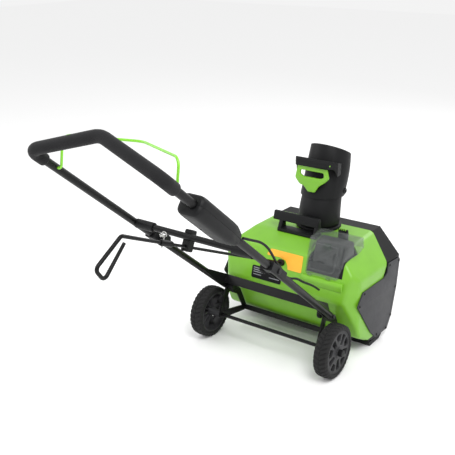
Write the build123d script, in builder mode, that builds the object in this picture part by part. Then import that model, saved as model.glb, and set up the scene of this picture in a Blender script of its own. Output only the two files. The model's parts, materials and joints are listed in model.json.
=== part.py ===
from build123d import *
import math
import os

os.makedirs("parts", exist_ok=True)

# Cordless single-stage snow blower, millimetres.
# Origin: on the ground under the middle of the scraper. +X right, +Y forward, +Z up.

# Running gear
WHEEL_R = 89.0
WHEEL_W = 48.0
WHEEL_X = 241.0
AXLE_Y = -280.0
AXLE_R = 6.0
AXLE_HALF = 277.0
RIM_R = 70.0

# Auger and its chamber
AUGER_Y = 10.0
AUGER_Z = 142.0
AUGER_R = 116.0
SCROLL_R = 122.0
WALL = 4.0
CHAMBER_LEFT = -234.0
CHAMBER_RIGHT = 252.0
SHELL_HALF = 256.0
FRONT_TOP_Z = 268.0

# Outer body
BODY_HALF = 260.0
SKIN = 3.5
TOP_Z = 368.0
SHOULDER_X = 182.0
SHOULDER_Z = 281.5
SIDE_COVER_T = 6.0
REAR_CORNER = ((BODY_HALF, -148.0), (218.0, -205.0))

# Chute
CHUTE_Y = 32.0
CHUTE_R = 66.0
CHUTE_WALL = 4.0
RING_R = 74.0
PINION_R = 12.0
NECK_SECTIONS = ((376.4, 32.0, 66.0), (388.0, 33.0, 72.0), (437.0, 38.0, 71.0), (500.0, 54.0, 66.5))
HOOD_SECTIONS = ((466.0, 46.8, 76.1), (569.0, 83.0, 75.0), (690.0, 104.0, 63.0))
HOOD_BOTTOM = 478.0
HOOD_PIVOT = (68.0, 495.0)

# Handle: both legs lie on one slanted line seen from the side
LEG_X = 207.0
LEG_R = 11.0
TUBE_T = 1.6
LOWER_PIVOT = (-240.0, 184.0)
LEG_ANGLE = 39.1
PIVOT_S = 438.0
CROSSBAR_S = 559.0
FOAM_END_S = 966.0
CORNER_S = 1022.0
BAIL_S = 926.0
APEX = (0.0, -1000.0, 887.0)
FOAM_R = 16.5
BAIL_R = 3.5

# Crank rod, from the housing up to the operator
ROD_X = -18.0
ROD_FOOT = (-98.0, 254.5)
ROD_SLOPE = 23.55
ROD_R = 4.5

# Drive
MOTOR_Y = -118.0
MOTOR_Z = 256.0
MOTOR_R = 38.0
BELT_X = -245.0
BELT_W = 8.0
MOTOR_PULLEY_R = 16.0
AUGER_PULLEY_R = 58.0
BELT_T = 3.0

# Battery bay, tilted back with the rear face
BAY_TILT = 22.6
BAY_ORIGIN = (0.0, -177.0, 284.0)
BAY_LEFT = 78.0
BAY_RIGHT = 207.0
BAY_DEPTH = 76.0
LID_PIVOT = (-189.0, 281.0)
LATCH_PIVOT = (-55.0, 369.6)

GAP = 0.3
FIT = 0.05

LEG_U = (-math.cos(math.radians(LEG_ANGLE)), math.sin(math.radians(LEG_ANGLE)))
ROD_U = (-math.cos(math.radians(ROD_SLOPE)), math.sin(math.radians(ROD_SLOPE)))


def finish(piece, name):
    """Label one finished piece and write it."""
    piece.label = name
    export_step(piece, f"parts/{name}.step")


def leg_point(x, lift, s):
    """Point beside a handle leg: s along it from the lower pivot, lift square to it, upward."""
    y = LOWER_PIVOT[0] + LEG_U[0] * s + LEG_U[1] * lift
    z = LOWER_PIVOT[1] + LEG_U[1] * s - LEG_U[0] * lift
    return (x, y, z)


def leg_plane(x, s):
    """Plane square to a handle leg: local X is the object's X, local Y is the leg's upper side."""
    return Plane(origin=leg_point(x, 0, s), x_dir=(1, 0, 0), z_dir=(0, LEG_U[0], LEG_U[1]))


def rod_point(s, lift=0.0):
    """Point on the crank rod's axis, s from its foot, or lifted square to it."""
    y = ROD_FOOT[0] + ROD_U[0] * s + ROD_U[1] * lift
    z = ROD_FOOT[1] + ROD_U[1] * s - ROD_U[0] * lift
    return (ROD_X, y, z)


def rod_plane(s):
    return Plane(origin=rod_point(s), x_dir=(1, 0, 0), z_dir=(0, ROD_U[0], ROD_U[1]))


def yz_face(points):
    """Closed outline of (Y, Z) points, as a face in the YZ plane."""
    with BuildSketch(Plane.YZ) as outline:
        with BuildLine():
            Polyline(*points, close=True)
        make_face()
    return outline.sketch


def yz_slab(points, x_from, x_to):
    """A side outline made solid between two X positions."""
    with BuildPart() as slab:
        extrude(yz_face(points).moved(Location((x_from, 0, 0))), amount=x_to - x_from)
    return slab.part


def x_cylinder(y, z, radius, x_from, x_to):
    """Cylinder along X between two X positions."""
    with BuildPart() as bar:
        with BuildSketch(Plane.YZ.offset(x_from)):
            with Locations((y, z)):
                Circle(radius)
        extrude(amount=x_to - x_from)
    return bar.part


def straight_rod(start, end, radius):
    """Round bar between two points."""
    axis = Vector(*end) - Vector(*start)
    with BuildPart() as bar:
        with BuildSketch(Plane(origin=start, z_dir=axis)):
            Circle(radius)
        extrude(amount=axis.length)
    return bar.part


def bent_rod(points, radius, bends, bore=0.0):
    """Round bar or tube through points, with one bend radius for each corner."""
    with BuildPart() as bar:
        with BuildLine() as path:
            FilletPolyline(*points, radius=bends)
        with BuildSketch(Plane(origin=path.line @ 0, z_dir=path.line % 0)):
            Circle(radius)
            if bore:
                Circle(bore, mode=Mode.SUBTRACT)
        sweep()
    return bar.part


def cord_bends(points):
    """Largest bend radii that the runs beside each corner allow, printed for the record."""
    radii = []
    for before, corner, after in zip(points, points[1:], points[2:]):
        run_in = Vector(*corner) - Vector(*before)
        run_out = Vector(*after) - Vector(*corner)
        half_turn = math.radians(run_in.get_angle(run_out)) / 2
        radii.append(0.45 * min(run_in.length, run_out.length) / math.tan(half_turn))
    print("cord radii", [round(r, 1) for r in radii])
    return radii


def mirrored(piece):
    """The same piece on the other side of the object."""
    with BuildPart() as other:
        add(mirror(piece, about=Plane.YZ, mode=Mode.PRIVATE))
    return other.part


def group(pieces):
    """Several separate solids written as one node."""
    return Compound(children=list(pieces))


# ---------------------------------------------------------------- outer body

BODY_SIDE = [
    (82, TOP_Z), (-80, 363), (-163, 334), (-182, 270), (-195, 206), (-132, 70),
    (-62, 32), (0, 30), (12, 100), (22, 236), (46, 281),
]


def octagon(inset, y_from, y_to):
    """Cross-section of the body seen from the front, made solid along Y."""
    side = BODY_HALF - inset
    cut = inset * 0.4
    with BuildPart() as prism:
        with BuildSketch(Plane.XZ.offset(-y_to)):
            with BuildLine():
                Polyline(
                    (-side, 20), (side, 20), (side, SHOULDER_Z - cut), (SHOULDER_X - cut, TOP_Z - inset),
                    (cut - SHOULDER_X, TOP_Z - inset), (-side, SHOULDER_Z - cut), close=True,
                )
            make_face()
        extrude(amount=y_to - y_from)
    return prism.part


def plan_outline(inset, z_from, z_to):
    """Plan of the body with its slanting rear corners."""
    (side_x, side_y), (rear_x, rear_y) = REAR_CORNER
    side = side_x - inset
    rear = rear_x - inset * 0.5
    with BuildPart() as prism:
        with BuildSketch(Plane.XY.offset(z_from)):
            with BuildLine():
                Polyline(
                    (side, 200), (side, side_y + inset * 0.5), (rear, rear_y + inset), (-rear, rear_y + inset),
                    (-side, side_y + inset * 0.5), (-side, 200), close=True,
                )
            make_face()
        extrude(amount=z_to - z_from)
    return prism.part


def body_solid():
    """Full outer volume of the rear housing."""
    with BuildPart() as body:
        add(yz_slab(BODY_SIDE, -BODY_HALF, BODY_HALF))
        add(octagon(0, -220, 200), mode=Mode.INTERSECT)
        add(plan_outline(0, 0, 400), mode=Mode.INTERSECT)
    return body.part


def make_main_housing():
    """Rear shell, open to the front, with holes for the chute, battery bay, crank rod and auger shaft."""
    cavity_side = [
        (120, TOP_Z - SKIN), (-79.4, 363 - SKIN), (-160, 331.2), (-178.4, 269.4), (-191.2, 206.4),
        (-129, 73.2), (-82, 48), (-82, -20), (120, -20),
    ]
    with BuildPart() as cavity:
        add(yz_slab(cavity_side, SKIN - BODY_HALF, BODY_HALF - SKIN))
        add(octagon(SKIN, -220, 200), mode=Mode.INTERSECT)
        add(plan_outline(SKIN, -30, 400), mode=Mode.INTERSECT)
    bay = Plane(origin=BAY_ORIGIN, x_dir=(1, 0, 0), z_dir=bay_up())
    with BuildPart() as housing:
        add(body_solid())
        add(cavity.part, mode=Mode.SUBTRACT)
        with BuildSketch(Plane.XY.offset(TOP_Z - 20)):
            with Locations((0, CHUTE_Y)):
                Circle(CHUTE_R + 1)
        extrude(amount=40, mode=Mode.SUBTRACT)
        with BuildSketch(bay.offset(1.5)):
            with Locations(((BAY_LEFT + BAY_RIGHT) / 2, BAY_DEPTH / 2 - 15)):
                Rectangle(BAY_RIGHT - BAY_LEFT + 2 * GAP, BAY_DEPTH + 30 + 2 * GAP)
        extrude(amount=150, mode=Mode.SUBTRACT)
        with BuildSketch(rod_plane(60)):
            Circle(11.2)
        extrude(amount=60, mode=Mode.SUBTRACT)
        add(x_cylinder(AUGER_Y, AUGER_Z, 14, -BODY_HALF - 1, BODY_HALF + 1), mode=Mode.SUBTRACT)
    return housing.part


def bay_up():
    """Direction in which the battery stands in its bay."""
    return (0, math.sin(math.radians(BAY_TILT)), math.cos(math.radians(BAY_TILT)))


def bay_box(x0, x1, y0, y1, z0, z1):
    """Box in the tilted frame of the battery bay."""
    plane = Plane(origin=BAY_ORIGIN, x_dir=(1, 0, 0), z_dir=bay_up())
    with BuildPart() as block:
        with BuildSketch(plane.offset(z0)):
            with Locations(((x0 + x1) / 2, (y0 + y1) / 2)):
                Rectangle(x1 - x0, y1 - y0)
        extrude(amount=z1 - z0)
    return block.part


FRONT_EDGE = [(141, TOP_Z + 2), (141, 276), (130, 172), (102, 68), (71, 24)]


def make_auger_shell():
    """Chamber around the auger, its end walls, the front hood and the duct up to the chute."""
    inner_top = FRONT_TOP_Z - WALL
    hood_side = [(37.4, inner_top), (46.4, 281), (82.4, TOP_Z), (141, TOP_Z), (141, inner_top)]
    side_wall = [
        (-108, 142), (-82, 226), (-10, 267), (82, 281), (82, 368), (141, 368), (141, 276), (130, 172),
        (102, 68), (71, 24), (45, 16), (-20, 18), (-70, 44),
    ]
    with BuildPart() as scroll:
        add(x_cylinder(AUGER_Y, AUGER_Z, SCROLL_R + WALL, CHAMBER_LEFT - WALL, CHAMBER_RIGHT + WALL))
        add(yz_slab(
            [(AUGER_Y, 16), (141, 16), (141, FRONT_TOP_Z), (AUGER_Y, FRONT_TOP_Z)],
            CHAMBER_LEFT - WALL, CHAMBER_RIGHT + WALL,
        ))
        add(x_cylinder(AUGER_Y, AUGER_Z, SCROLL_R, CHAMBER_LEFT, CHAMBER_RIGHT), mode=Mode.SUBTRACT)
        add(yz_slab(
            [(AUGER_Y, 20), (150, 20), (150, FRONT_TOP_Z - WALL), (AUGER_Y, FRONT_TOP_Z - WALL)],
            CHAMBER_LEFT, CHAMBER_RIGHT,
        ), mode=Mode.SUBTRACT)
    with BuildPart() as hollow:
        add(yz_slab([(0, FRONT_TOP_Z), (141 - WALL, FRONT_TOP_Z), (141 - WALL, TOP_Z), (0, TOP_Z)],
                    WALL - BODY_HALF, BODY_HALF - WALL))
        add(octagon(WALL, -10, 200), mode=Mode.INTERSECT)
    with BuildPart() as hood:
        add(yz_slab(hood_side, -BODY_HALF, BODY_HALF))
        add(octagon(0, 0, 200), mode=Mode.INTERSECT)
        add(hollow.part, mode=Mode.SUBTRACT)
        with BuildSketch(Plane.XY.offset(TOP_Z - 20)):
            with Locations((0, CHUTE_Y)):
                Circle(CHUTE_R + 1)
        extrude(amount=40, mode=Mode.SUBTRACT)
    front = FRONT_EDGE + [(62, 8), (200, 8), (200, TOP_Z + 2)]
    with BuildPart() as shell:
        add(scroll.part)
        add(hood.part)
        add(yz_slab(side_wall, -SHELL_HALF, WALL - SHELL_HALF))
        add(yz_slab(side_wall, SHELL_HALF - WALL, SHELL_HALF))
        with BuildSketch(Plane.XY.offset(FRONT_TOP_Z - 30)):
            with Locations((0, CHUTE_Y)):
                Circle(CHUTE_R - 2)
        extrude(amount=TOP_Z - FRONT_TOP_Z)
        add(x_cylinder(AUGER_Y, AUGER_Z, SCROLL_R, CHAMBER_LEFT, CHAMBER_RIGHT), mode=Mode.SUBTRACT)
        with BuildSketch(Plane.XY.offset(AUGER_Z)):
            with Locations((0, CHUTE_Y)):
                Circle(CHUTE_R - 2 - WALL)
        extrude(amount=TOP_Z - AUGER_Z, mode=Mode.SUBTRACT)
        add(yz_slab(front, -300, 300), mode=Mode.SUBTRACT)
        add(x_cylinder(AUGER_Y, AUGER_Z, 16, -300, 300), mode=Mode.SUBTRACT)
        add(octagon(0, -220, 200), mode=Mode.INTERSECT)
    return shell.part


SIDE_COVER = [
    (-134, 239), (18, 236), (42, 246), (50, 279), (139, 273), (128, 172), (100, 68), (70, 26), (-19, 30),
    (-61, 67), (-168, 198),
]


def make_side_cover():
    """Flat cover on the right side, with a raised rim line along its front edge."""
    with BuildPart() as cover:
        add(yz_slab(SIDE_COVER, BODY_HALF + GAP, BODY_HALF + SIDE_COVER_T))
        outer = cover.faces().sort_by(Axis.X)[-1]
        chamfer(outer.edges(), length=2)
        groove = [(118, 262), (123, 262), (113, 172), (87, 74), (62, 40), (20, 40), (20, 43),
                  (60, 43), (83, 76), (108, 172)]
        add(yz_slab(groove, BODY_HALF + SIDE_COVER_T - 1.5, BODY_HALF + 20), mode=Mode.SUBTRACT)
    return cover.part


COVER_SCREWS = [(58, 270), (130, 264), (116, 170), (92, 72), (62, 33), (-12, 38), (-155, 198), (-125, 232)]


def make_cover_screws():
    screws = []
    for y, z in COVER_SCREWS:
        head = x_cylinder(y, z, 4.0, BODY_HALF + SIDE_COVER_T, BODY_HALF + SIDE_COVER_T + 2)
        screws.append(head)
        screws.append(mirrored(head))
    return group(screws)


def make_scraper():
    """Plastic scraper that rests on the ground right across the chamber."""
    outline = [(-43, 14), (-36, 0), (36, 0), (52, 12), (58, 26), (50, 26), (-43, 30)]
    with BuildPart() as scraper:
        add(yz_slab(outline, -254, 254))
        add(x_cylinder(AUGER_Y, AUGER_Z, SCROLL_R + WALL + 0.1, -260, 260), mode=Mode.SUBTRACT)
        add(yz_slab([(AUGER_Y, 15.9), (90, 15.9), (90, 60), (AUGER_Y, 60)], -260, 260), mode=Mode.SUBTRACT)
        for x in (-260, 251):
            add(yz_slab([(-80, 15.9), (90, 15.9), (90, 60), (-80, 60)], x, x + 9), mode=Mode.SUBTRACT)
    return scraper.part


# ---------------------------------------------------------------- auger and drive

def auger_blade(x_near, x_far, angle, twist):
    """One twisted rubber paddle, from the middle disc out to an end disc."""
    with BuildPart() as blade:
        for step in range(3):
            x = x_near + (x_far - x_near) * step / 2
            turn = angle + twist * step / 2
            with BuildSketch(Plane(origin=(x, AUGER_Y, AUGER_Z), x_dir=(0, math.cos(math.radians(turn)),
                                   math.sin(math.radians(turn))), z_dir=(1, 0, 0))):
                with Locations(((AUGER_R + 24) / 2, 0)):
                    Rectangle(AUGER_R - 24, 9)
        loft()
    return blade.part


def make_auger_paddles():
    blades = []
    middle = (CHAMBER_LEFT + CHAMBER_RIGHT) / 2
    for angle in (20, 200):
        blades.append(auger_blade(middle + 4, CHAMBER_RIGHT - 6, angle, 45))
        blades.append(auger_blade(middle - 4, CHAMBER_LEFT + 6, angle, 45))
    return group(blades)


def make_auger_shaft():
    """Shaft with the tube and discs that carry the paddles."""
    middle = (CHAMBER_LEFT + CHAMBER_RIGHT) / 2
    with BuildPart() as core:
        add(x_cylinder(AUGER_Y, AUGER_Z, 23.8, CHAMBER_LEFT + 4, CHAMBER_RIGHT - 4))
        add(x_cylinder(AUGER_Y, AUGER_Z, 21.8, CHAMBER_LEFT + 8, CHAMBER_RIGHT - 8), mode=Mode.SUBTRACT)
        for x in (CHAMBER_LEFT + 2, middle - 1.0, CHAMBER_RIGHT - 4.0):
            add(x_cylinder(AUGER_Y, AUGER_Z, 78, x, x + 2.0))
        add(x_cylinder(AUGER_Y, AUGER_Z, 8, -254.5, 254.5))
    return core.part


def make_auger_bearings():
    rings = []
    for x in (CHAMBER_LEFT - WALL, CHAMBER_RIGHT):
        with BuildPart() as ring:
            add(x_cylinder(AUGER_Y, AUGER_Z, 15.9, x, x + WALL))
            add(x_cylinder(AUGER_Y, AUGER_Z, 8 + FIT, x - 1, x + WALL + 1), mode=Mode.SUBTRACT)
        rings.append(ring.part)
    return group(rings)


def make_auger_pulley():
    with BuildPart() as pulley:
        add(x_cylinder(AUGER_Y, AUGER_Z, AUGER_PULLEY_R - GAP, BELT_X - 4, BELT_X + 5))
        add(x_cylinder(AUGER_Y, AUGER_Z, 8 + FIT, -300, 300), mode=Mode.SUBTRACT)
    return pulley.part


def make_belt():
    """Closed belt around both pulleys."""
    gap_y = AUGER_Y - MOTOR_Y
    gap_z = AUGER_Z - MOTOR_Z
    span = math.hypot(gap_y, gap_z)
    lean = math.degrees(math.atan2(gap_z, gap_y))
    plane = Plane(origin=(BELT_X - 3.5, MOTOR_Y, MOTOR_Z), z_dir=(1, 0, 0),
                  x_dir=(0, math.cos(math.radians(lean)), math.sin(math.radians(lean))))
    tip = math.acos((AUGER_PULLEY_R - MOTOR_PULLEY_R) / span)

    def loop(extra):
        small = MOTOR_PULLEY_R + extra
        large = AUGER_PULLEY_R + extra
        reach = math.pi - tip
        with BuildSketch() as ring:
            Circle(small)
            with Locations((span, 0)):
                Circle(large)
            with BuildLine():
                Polyline(
                    (small * math.cos(reach), small * math.sin(reach)),
                    (span + large * math.cos(reach), large * math.sin(reach)),
                    (span + large * math.cos(reach), -large * math.sin(reach)),
                    (small * math.cos(reach), -small * math.sin(reach)), close=True,
                )
            make_face()
        return ring.sketch

    with BuildPart() as belt:
        extrude(plane.from_local_coords(loop(BELT_T)), amount=BELT_W)
        extrude(plane.from_local_coords(loop(0)), amount=BELT_W, mode=Mode.SUBTRACT)
    return belt.part


def make_motor():
    with BuildPart() as motor:
        add(x_cylinder(MOTOR_Y, MOTOR_Z, MOTOR_R, -232, -120))
        chamfer(motor.edges().filter_by(GeomType.CIRCLE), length=3)
        add(x_cylinder(MOTOR_Y, MOTOR_Z, MOTOR_R - 4, -228, -124), mode=Mode.SUBTRACT)
        add(x_cylinder(MOTOR_Y, MOTOR_Z, 5 + FIT, -300, -120 + 1), mode=Mode.SUBTRACT)
    return motor.part


def make_motor_rotor():
    with BuildPart() as rotor:
        add(x_cylinder(MOTOR_Y, MOTOR_Z, MOTOR_R - 6, -222, -130))
        add(x_cylinder(MOTOR_Y, MOTOR_Z, 5, -253, -121))
        add(x_cylinder(MOTOR_Y, MOTOR_Z, MOTOR_PULLEY_R - GAP, BELT_X - 3.5, BELT_X + 5))
    return rotor.part


def make_motor_mount():
    """Bracket that hangs the motor from the chamber wall."""
    with BuildPart() as mount:
        add(x_cylinder(MOTOR_Y, MOTOR_Z, MOTOR_R + 4, -200, -150))
        add(yz_slab([(MOTOR_Y - 30, MOTOR_Z), (MOTOR_Y + 40, MOTOR_Z + 10), (-20, 250), (-96, 170)], -200, -150))
        add(x_cylinder(MOTOR_Y, MOTOR_Z, MOTOR_R + 0.1, -201, -149), mode=Mode.SUBTRACT)
        add(x_cylinder(AUGER_Y, AUGER_Z, SCROLL_R + WALL + 0.1, -201, -149), mode=Mode.SUBTRACT)
    return mount.part


def make_controller():
    with BuildPart() as board:
        with BuildSketch(Plane.XY.offset(276)):
            with Locations((40, -128)):
                Rectangle(56, 60)
        extrude(amount=34)
        with BuildSketch(Plane.XY.offset(262)):
            with GridLocations(0, 12, 1, 4):
                with Locations((40, -128)):
                    Rectangle(50, 4)
        extrude(amount=14)
    return board.part


# ---------------------------------------------------------------- battery

def make_battery_bay():
    with BuildPart() as tray:
        add(bay_box(BAY_LEFT, BAY_RIGHT, 0, BAY_DEPTH, 2, 34))
        add(bay_box(BAY_LEFT + 3, BAY_RIGHT - 3, 3, BAY_DEPTH - 3, 5, 40), mode=Mode.SUBTRACT)
        add(bay_box(118, 168, 26, 50, 4, 11))
        for x in (124, 136, 148, 160):
            add(bay_box(x, x + 2, 30, 46, 10, 17))
    return tray.part


def make_battery():
    with BuildPart() as pack:
        add(yz_slab([(-167.5, 293), (-133, 381.5), (-88, 388), (-80, 334), (-107.8, 268)],
                    BAY_LEFT + 6, BAY_RIGHT - 6))
        fillet(pack.edges().group_by(Axis.X)[0], radius=5)
        fillet(pack.edges().group_by(Axis.X)[-1], radius=5)
        for x in (124, 136, 148, 160):
            add(bay_box(x - 0.6, x + 2.6, 29, 47, 9, 18), mode=Mode.SUBTRACT)
    return pack.part


def door_prism(side, inset):
    """Side outline of the lid crossed with its plan, which has a wide bevel at the outer rear corner."""
    left, right = BAY_LEFT - 10 + inset, BAY_RIGHT + 20 - inset
    plan = [
        (left, 0), (left, -150), (left + 10, -195), (right - 44, -195), (right - 26, -170 + inset),
        (right, -108 + inset), (right, 0),
    ]
    with BuildPart() as prism:
        add(yz_slab(side, left, right))
        with BuildSketch(Plane.XY.offset(200)):
            with BuildLine():
                Polyline(*plan, close=True)
            make_face()
        extrude(amount=300, mode=Mode.INTERSECT)
    return prism.part


def make_battery_door():
    """Clear lid over the battery: a shell open towards the housing."""
    outer = [(-188, 280), (-144.5, 395), (-72, 404), (-63.5, 360), (-63.5, 280)]
    inner = [(-185, 283), (-142, 392.2), (-74.8, 401.2), (-66.3, 360), (-66.3, 260), (-185, 260)]
    housing = [(120, TOP_Z + 1.6), (-80, 364.6), (-163.6, 335.4), (-183, 272), (-183, 200), (120, 200)]
    with BuildPart() as lid:
        add(door_prism(outer, 0))
        add(door_prism(inner, 2.8), mode=Mode.SUBTRACT)
        add(yz_slab(housing, 0, 300), mode=Mode.SUBTRACT)
        for x in (88, 156):
            add(x_cylinder(*LID_PIVOT, 4, x, x + 16))
    return lid.part


def make_door_latch():
    """Sprung catch that stands against the lid's front wall, on a barrel along its pivot."""
    with BuildPart() as latch:
        add(x_cylinder(*LATCH_PIVOT, 4, 122, 164))
        add(yz_slab([(-59, 369), (-51, 369), (-50, 392), (-55, 408), (-62.5, 409), (-62.5, 380)], 126, 160))
    return latch.part


# ---------------------------------------------------------------- trims on the body

def make_carry_handle():
    """Bridge-shaped handle across the rear of the top, on a foot plate."""
    foot = [(-90, 355), (-48, 355), (-48, 371), (-86, 371)]
    post = [(-86, 360), (-50, 360), (-52, 400), (-70, 400)]
    housing = [(120, TOP_Z + 0.6), (-80, 363.6), (-163, 334.6), (-163, 200), (120, 200)]
    with BuildPart() as handle:
        add(yz_slab([(-75, 394), (-54, 392), (-50, 412), (-55, 424), (-67, 425)], -122, 56))
        add(yz_slab(foot, -96, 60))
        for x in (-96, 42):
            add(yz_slab(post, x, x + 14))
        add(yz_slab(housing, -300, 300), mode=Mode.SUBTRACT)
    return handle.part


def make_rod_bush():
    """Rubber boot around the crank rod where it enters the housing."""
    with BuildPart() as boot:
        with BuildSketch(rod_plane(66)):
            Circle(11)
        extrude(amount=34)
        with BuildSketch(rod_plane(60)):
            Circle(ROD_R + 0.1)
        extrude(amount=60, mode=Mode.SUBTRACT)
    return boot.part


def face_plane(low, high):
    """Plane lying on the rear face between two (Y, Z) points of it, and the height between them."""
    rise = Vector(0, high[0] - low[0], high[1] - low[1])
    return Plane(origin=(0, low[0], low[1]), x_dir=(1, 0, 0), z_dir=(0, -rise.Z, rise.Y))


def make_warning_label():
    """Printed label on the rear face, notched around the rod boot."""
    with BuildPart() as label:
        with BuildSketch(face_plane((-182.1, 270), (-163.1, 334)).offset(0.05)):
            with BuildLine():
                Polyline((-82, 34), (-66, 58), (58, 58), (60, 0), (8, 0), (4, 14), (0, 30), (-16, 36), (-30, 34),
                         close=True)
            make_face()
        extrude(amount=0.6)
    return label.part


def make_rating_plate():
    with BuildPart() as plate:
        with BuildSketch(face_plane((-195.1, 206), (-182.1, 270)).offset(0.05)):
            with Locations((-70, 32)):
                RectangleRounded(118, 44, 5)
        extrude(amount=1.0)
    return plate.part


# ---------------------------------------------------------------- frame and wheels

def make_side_frame():
    """Flat triangular frame plate on the right, from the handle pivot to the axle and the lower bar."""
    with BuildPart() as plate:
        with BuildSketch(Plane.YZ.offset(187.5)):
            with BuildLine():
                Polyline((-258, 184), (-240, 202), (-222, 190), (-174, 150), (-136, 72), (-134.8, 66), (-136, 56),
                         (-150, 56), (-276, 74), (-294, 84), (-294, 96), close=True)
            make_face()
            with BuildLine():
                Polyline((-240, 162), (-270, 101), (-160, 78), (-190, 134), close=True)
            make_face(mode=Mode.SUBTRACT)
        extrude(amount=4.8)
        add(x_cylinder(LOWER_PIVOT[0], LOWER_PIVOT[1], 4 + FIT, 180, 200), mode=Mode.SUBTRACT)
        add(x_cylinder(AXLE_Y, WHEEL_R, AXLE_R + FIT, 180, 200), mode=Mode.SUBTRACT)
    return plate.part


def make_lower_bar():
    """Square bar between the two frame plates under the housing's rear edge."""
    with BuildPart() as bar:
        add(yz_slab([(-150, 60), (-134.5, 60), (-134.5, 68), (-150, 78)], -187.4, 187.4))
    return bar.part


def make_axle():
    return x_cylinder(AXLE_Y, WHEEL_R, AXLE_R, -AXLE_HALF, AXLE_HALF)


def make_axle_caps():
    with BuildPart() as cap:
        add(x_cylinder(AXLE_Y, WHEEL_R, 12, WHEEL_X + WHEEL_W / 2 + 0.4, AXLE_HALF + 2))
        fillet(cap.faces().sort_by(Axis.X)[-1].edges(), radius=3)
        add(x_cylinder(AXLE_Y, WHEEL_R, AXLE_R + FIT, 250, AXLE_HALF), mode=Mode.SUBTRACT)
    return group([cap.part, mirrored(cap.part)])


def make_tyre():
    with BuildPart() as tyre:
        add(x_cylinder(AXLE_Y, WHEEL_R, WHEEL_R, WHEEL_X - WHEEL_W / 2, WHEEL_X + WHEEL_W / 2))
        fillet(tyre.edges().filter_by(GeomType.CIRCLE), radius=9)
        add(x_cylinder(AXLE_Y, WHEEL_R, RIM_R, 200, 300), mode=Mode.SUBTRACT)
    return tyre.part


def make_hub():
    """Moulded hub: rim band, bore boss and ten spokes."""
    inner, outer = WHEEL_X - WHEEL_W / 2 + 3, WHEEL_X + WHEEL_W / 2 - 2
    with BuildPart() as hub:
        add(x_cylinder(AXLE_Y, WHEEL_R, RIM_R - 0.1, inner, outer))
        add(x_cylinder(AXLE_Y, WHEEL_R, RIM_R - 5, inner - 1, outer - 8), mode=Mode.SUBTRACT)
        add(x_cylinder(AXLE_Y, WHEEL_R, 13, 193.0, outer))
        with BuildSketch(Plane.YZ.offset(outer - 12)):
            with Locations((AXLE_Y, WHEEL_R)):
                with PolarLocations(42, 10, start_angle=18):
                    RectangleRounded(34, 13, 4)
        extrude(amount=20, mode=Mode.SUBTRACT)
        add(x_cylinder(AXLE_Y, WHEEL_R, AXLE_R + FIT, 190, 300), mode=Mode.SUBTRACT)
    return hub.part


# ---------------------------------------------------------------- handle

def make_lower_tube():
    """Right lower leg, with round ends about its two pivots."""
    with BuildPart() as tube:
        with BuildSketch(leg_plane(LEG_X, 0)):
            Circle(LEG_R)
        extrude(amount=PIVOT_S)
        for s in (0, PIVOT_S):
            with Locations(leg_point(LEG_X, 0, s)):
                Sphere(LEG_R)
        with BuildSketch(leg_plane(LEG_X, 18)):
            Circle(LEG_R - TUBE_T)
        extrude(amount=PIVOT_S - 36, mode=Mode.SUBTRACT)
        for s in (0, PIVOT_S):
            point = leg_point(LEG_X, 0, s)
            add(x_cylinder(point[1], point[2], 4 + FIT, 190, 230), mode=Mode.SUBTRACT)
    return tube.part


def make_cross_plate():
    """Flat bar between the lower legs, with a tapering tab up the inner side of each leg."""
    outline = [(-13, -12), (13, -12), (31, 26), (31, 32), (2, 176), (-4, 176), (-13, 20)]
    tab = yz_slab([leg_point(0, lift, s)[1:] for lift, s in outline], 192.6, 195.7)
    with BuildPart() as plate:
        with BuildSketch(leg_plane(0, 26)):
            with Locations((0, 16)):
                Rectangle(2 * 195.6, 30)
        extrude(amount=4)
        add(tab)
        add(mirrored(tab))
        add(x_cylinder(LOWER_PIVOT[0], LOWER_PIVOT[1], 4 + FIT, -220, 220), mode=Mode.SUBTRACT)
    return plate.part


def make_knob(s, x_inner, x_outer):
    """Round knob with eight grips on the inner end of a pivot bolt, on the right leg."""
    point = leg_point(LEG_X, 0, s)
    with BuildPart() as knob:
        add(x_cylinder(point[1], point[2], 17, x_inner, x_inner + 14))
        with BuildSketch(Plane.YZ.offset(x_inner - 1)):
            with Locations((point[1], point[2])):
                with PolarLocations(19.5, 8):
                    Circle(5)
        extrude(amount=16, mode=Mode.SUBTRACT)
        add(x_cylinder(point[1], point[2], 9, x_inner + 13, x_outer))
        add(x_cylinder(point[1], point[2], 4 + FIT, x_inner + 4, x_outer + 5), mode=Mode.SUBTRACT)
    return knob.part


def make_bolt(s, x_from, x_to):
    """Carriage bolt through a pivot, head on the outer side."""
    point = leg_point(LEG_X, 0, s)
    with BuildPart() as bolt:
        add(x_cylinder(point[1], point[2], 4, x_from, x_to))
        add(x_cylinder(point[1], point[2], 8, x_to - 0.1, x_to + 3))
        fillet(bolt.faces().sort_by(Axis.X)[-1].edges(), radius=2)
    return bolt.part


def make_fork():
    """Clamp that ends the upper leg: two cheeks beside the lower leg and a solid neck above it."""
    with BuildPart() as fork:
        with BuildSketch(leg_plane(LEG_X, PIVOT_S - 46)):
            RectangleRounded(33, 27, 5)
        extrude(amount=46 + 42)
        with BuildSketch(leg_plane(LEG_X, PIVOT_S - 50)):
            Rectangle(2 * (LEG_R + GAP), 60)
        extrude(amount=50 + LEG_R + 1, mode=Mode.SUBTRACT)
        point = leg_point(LEG_X, 0, PIVOT_S)
        add(x_cylinder(point[1], point[2], 4 + FIT, 180, 230), mode=Mode.SUBTRACT)
        with BuildSketch(leg_plane(LEG_X, PIVOT_S + 20)):
            Circle(LEG_R + FIT)
        extrude(amount=40, mode=Mode.SUBTRACT)
    return fork.part


def handle_loop(end_s):
    """Points of the upper handle's loop, from one leg to the other."""
    return [
        leg_point(-LEG_X, 0, end_s), leg_point(-LEG_X, 0, CORNER_S), APEX,
        leg_point(LEG_X, 0, CORNER_S), leg_point(LEG_X, 0, end_s),
    ]


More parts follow.
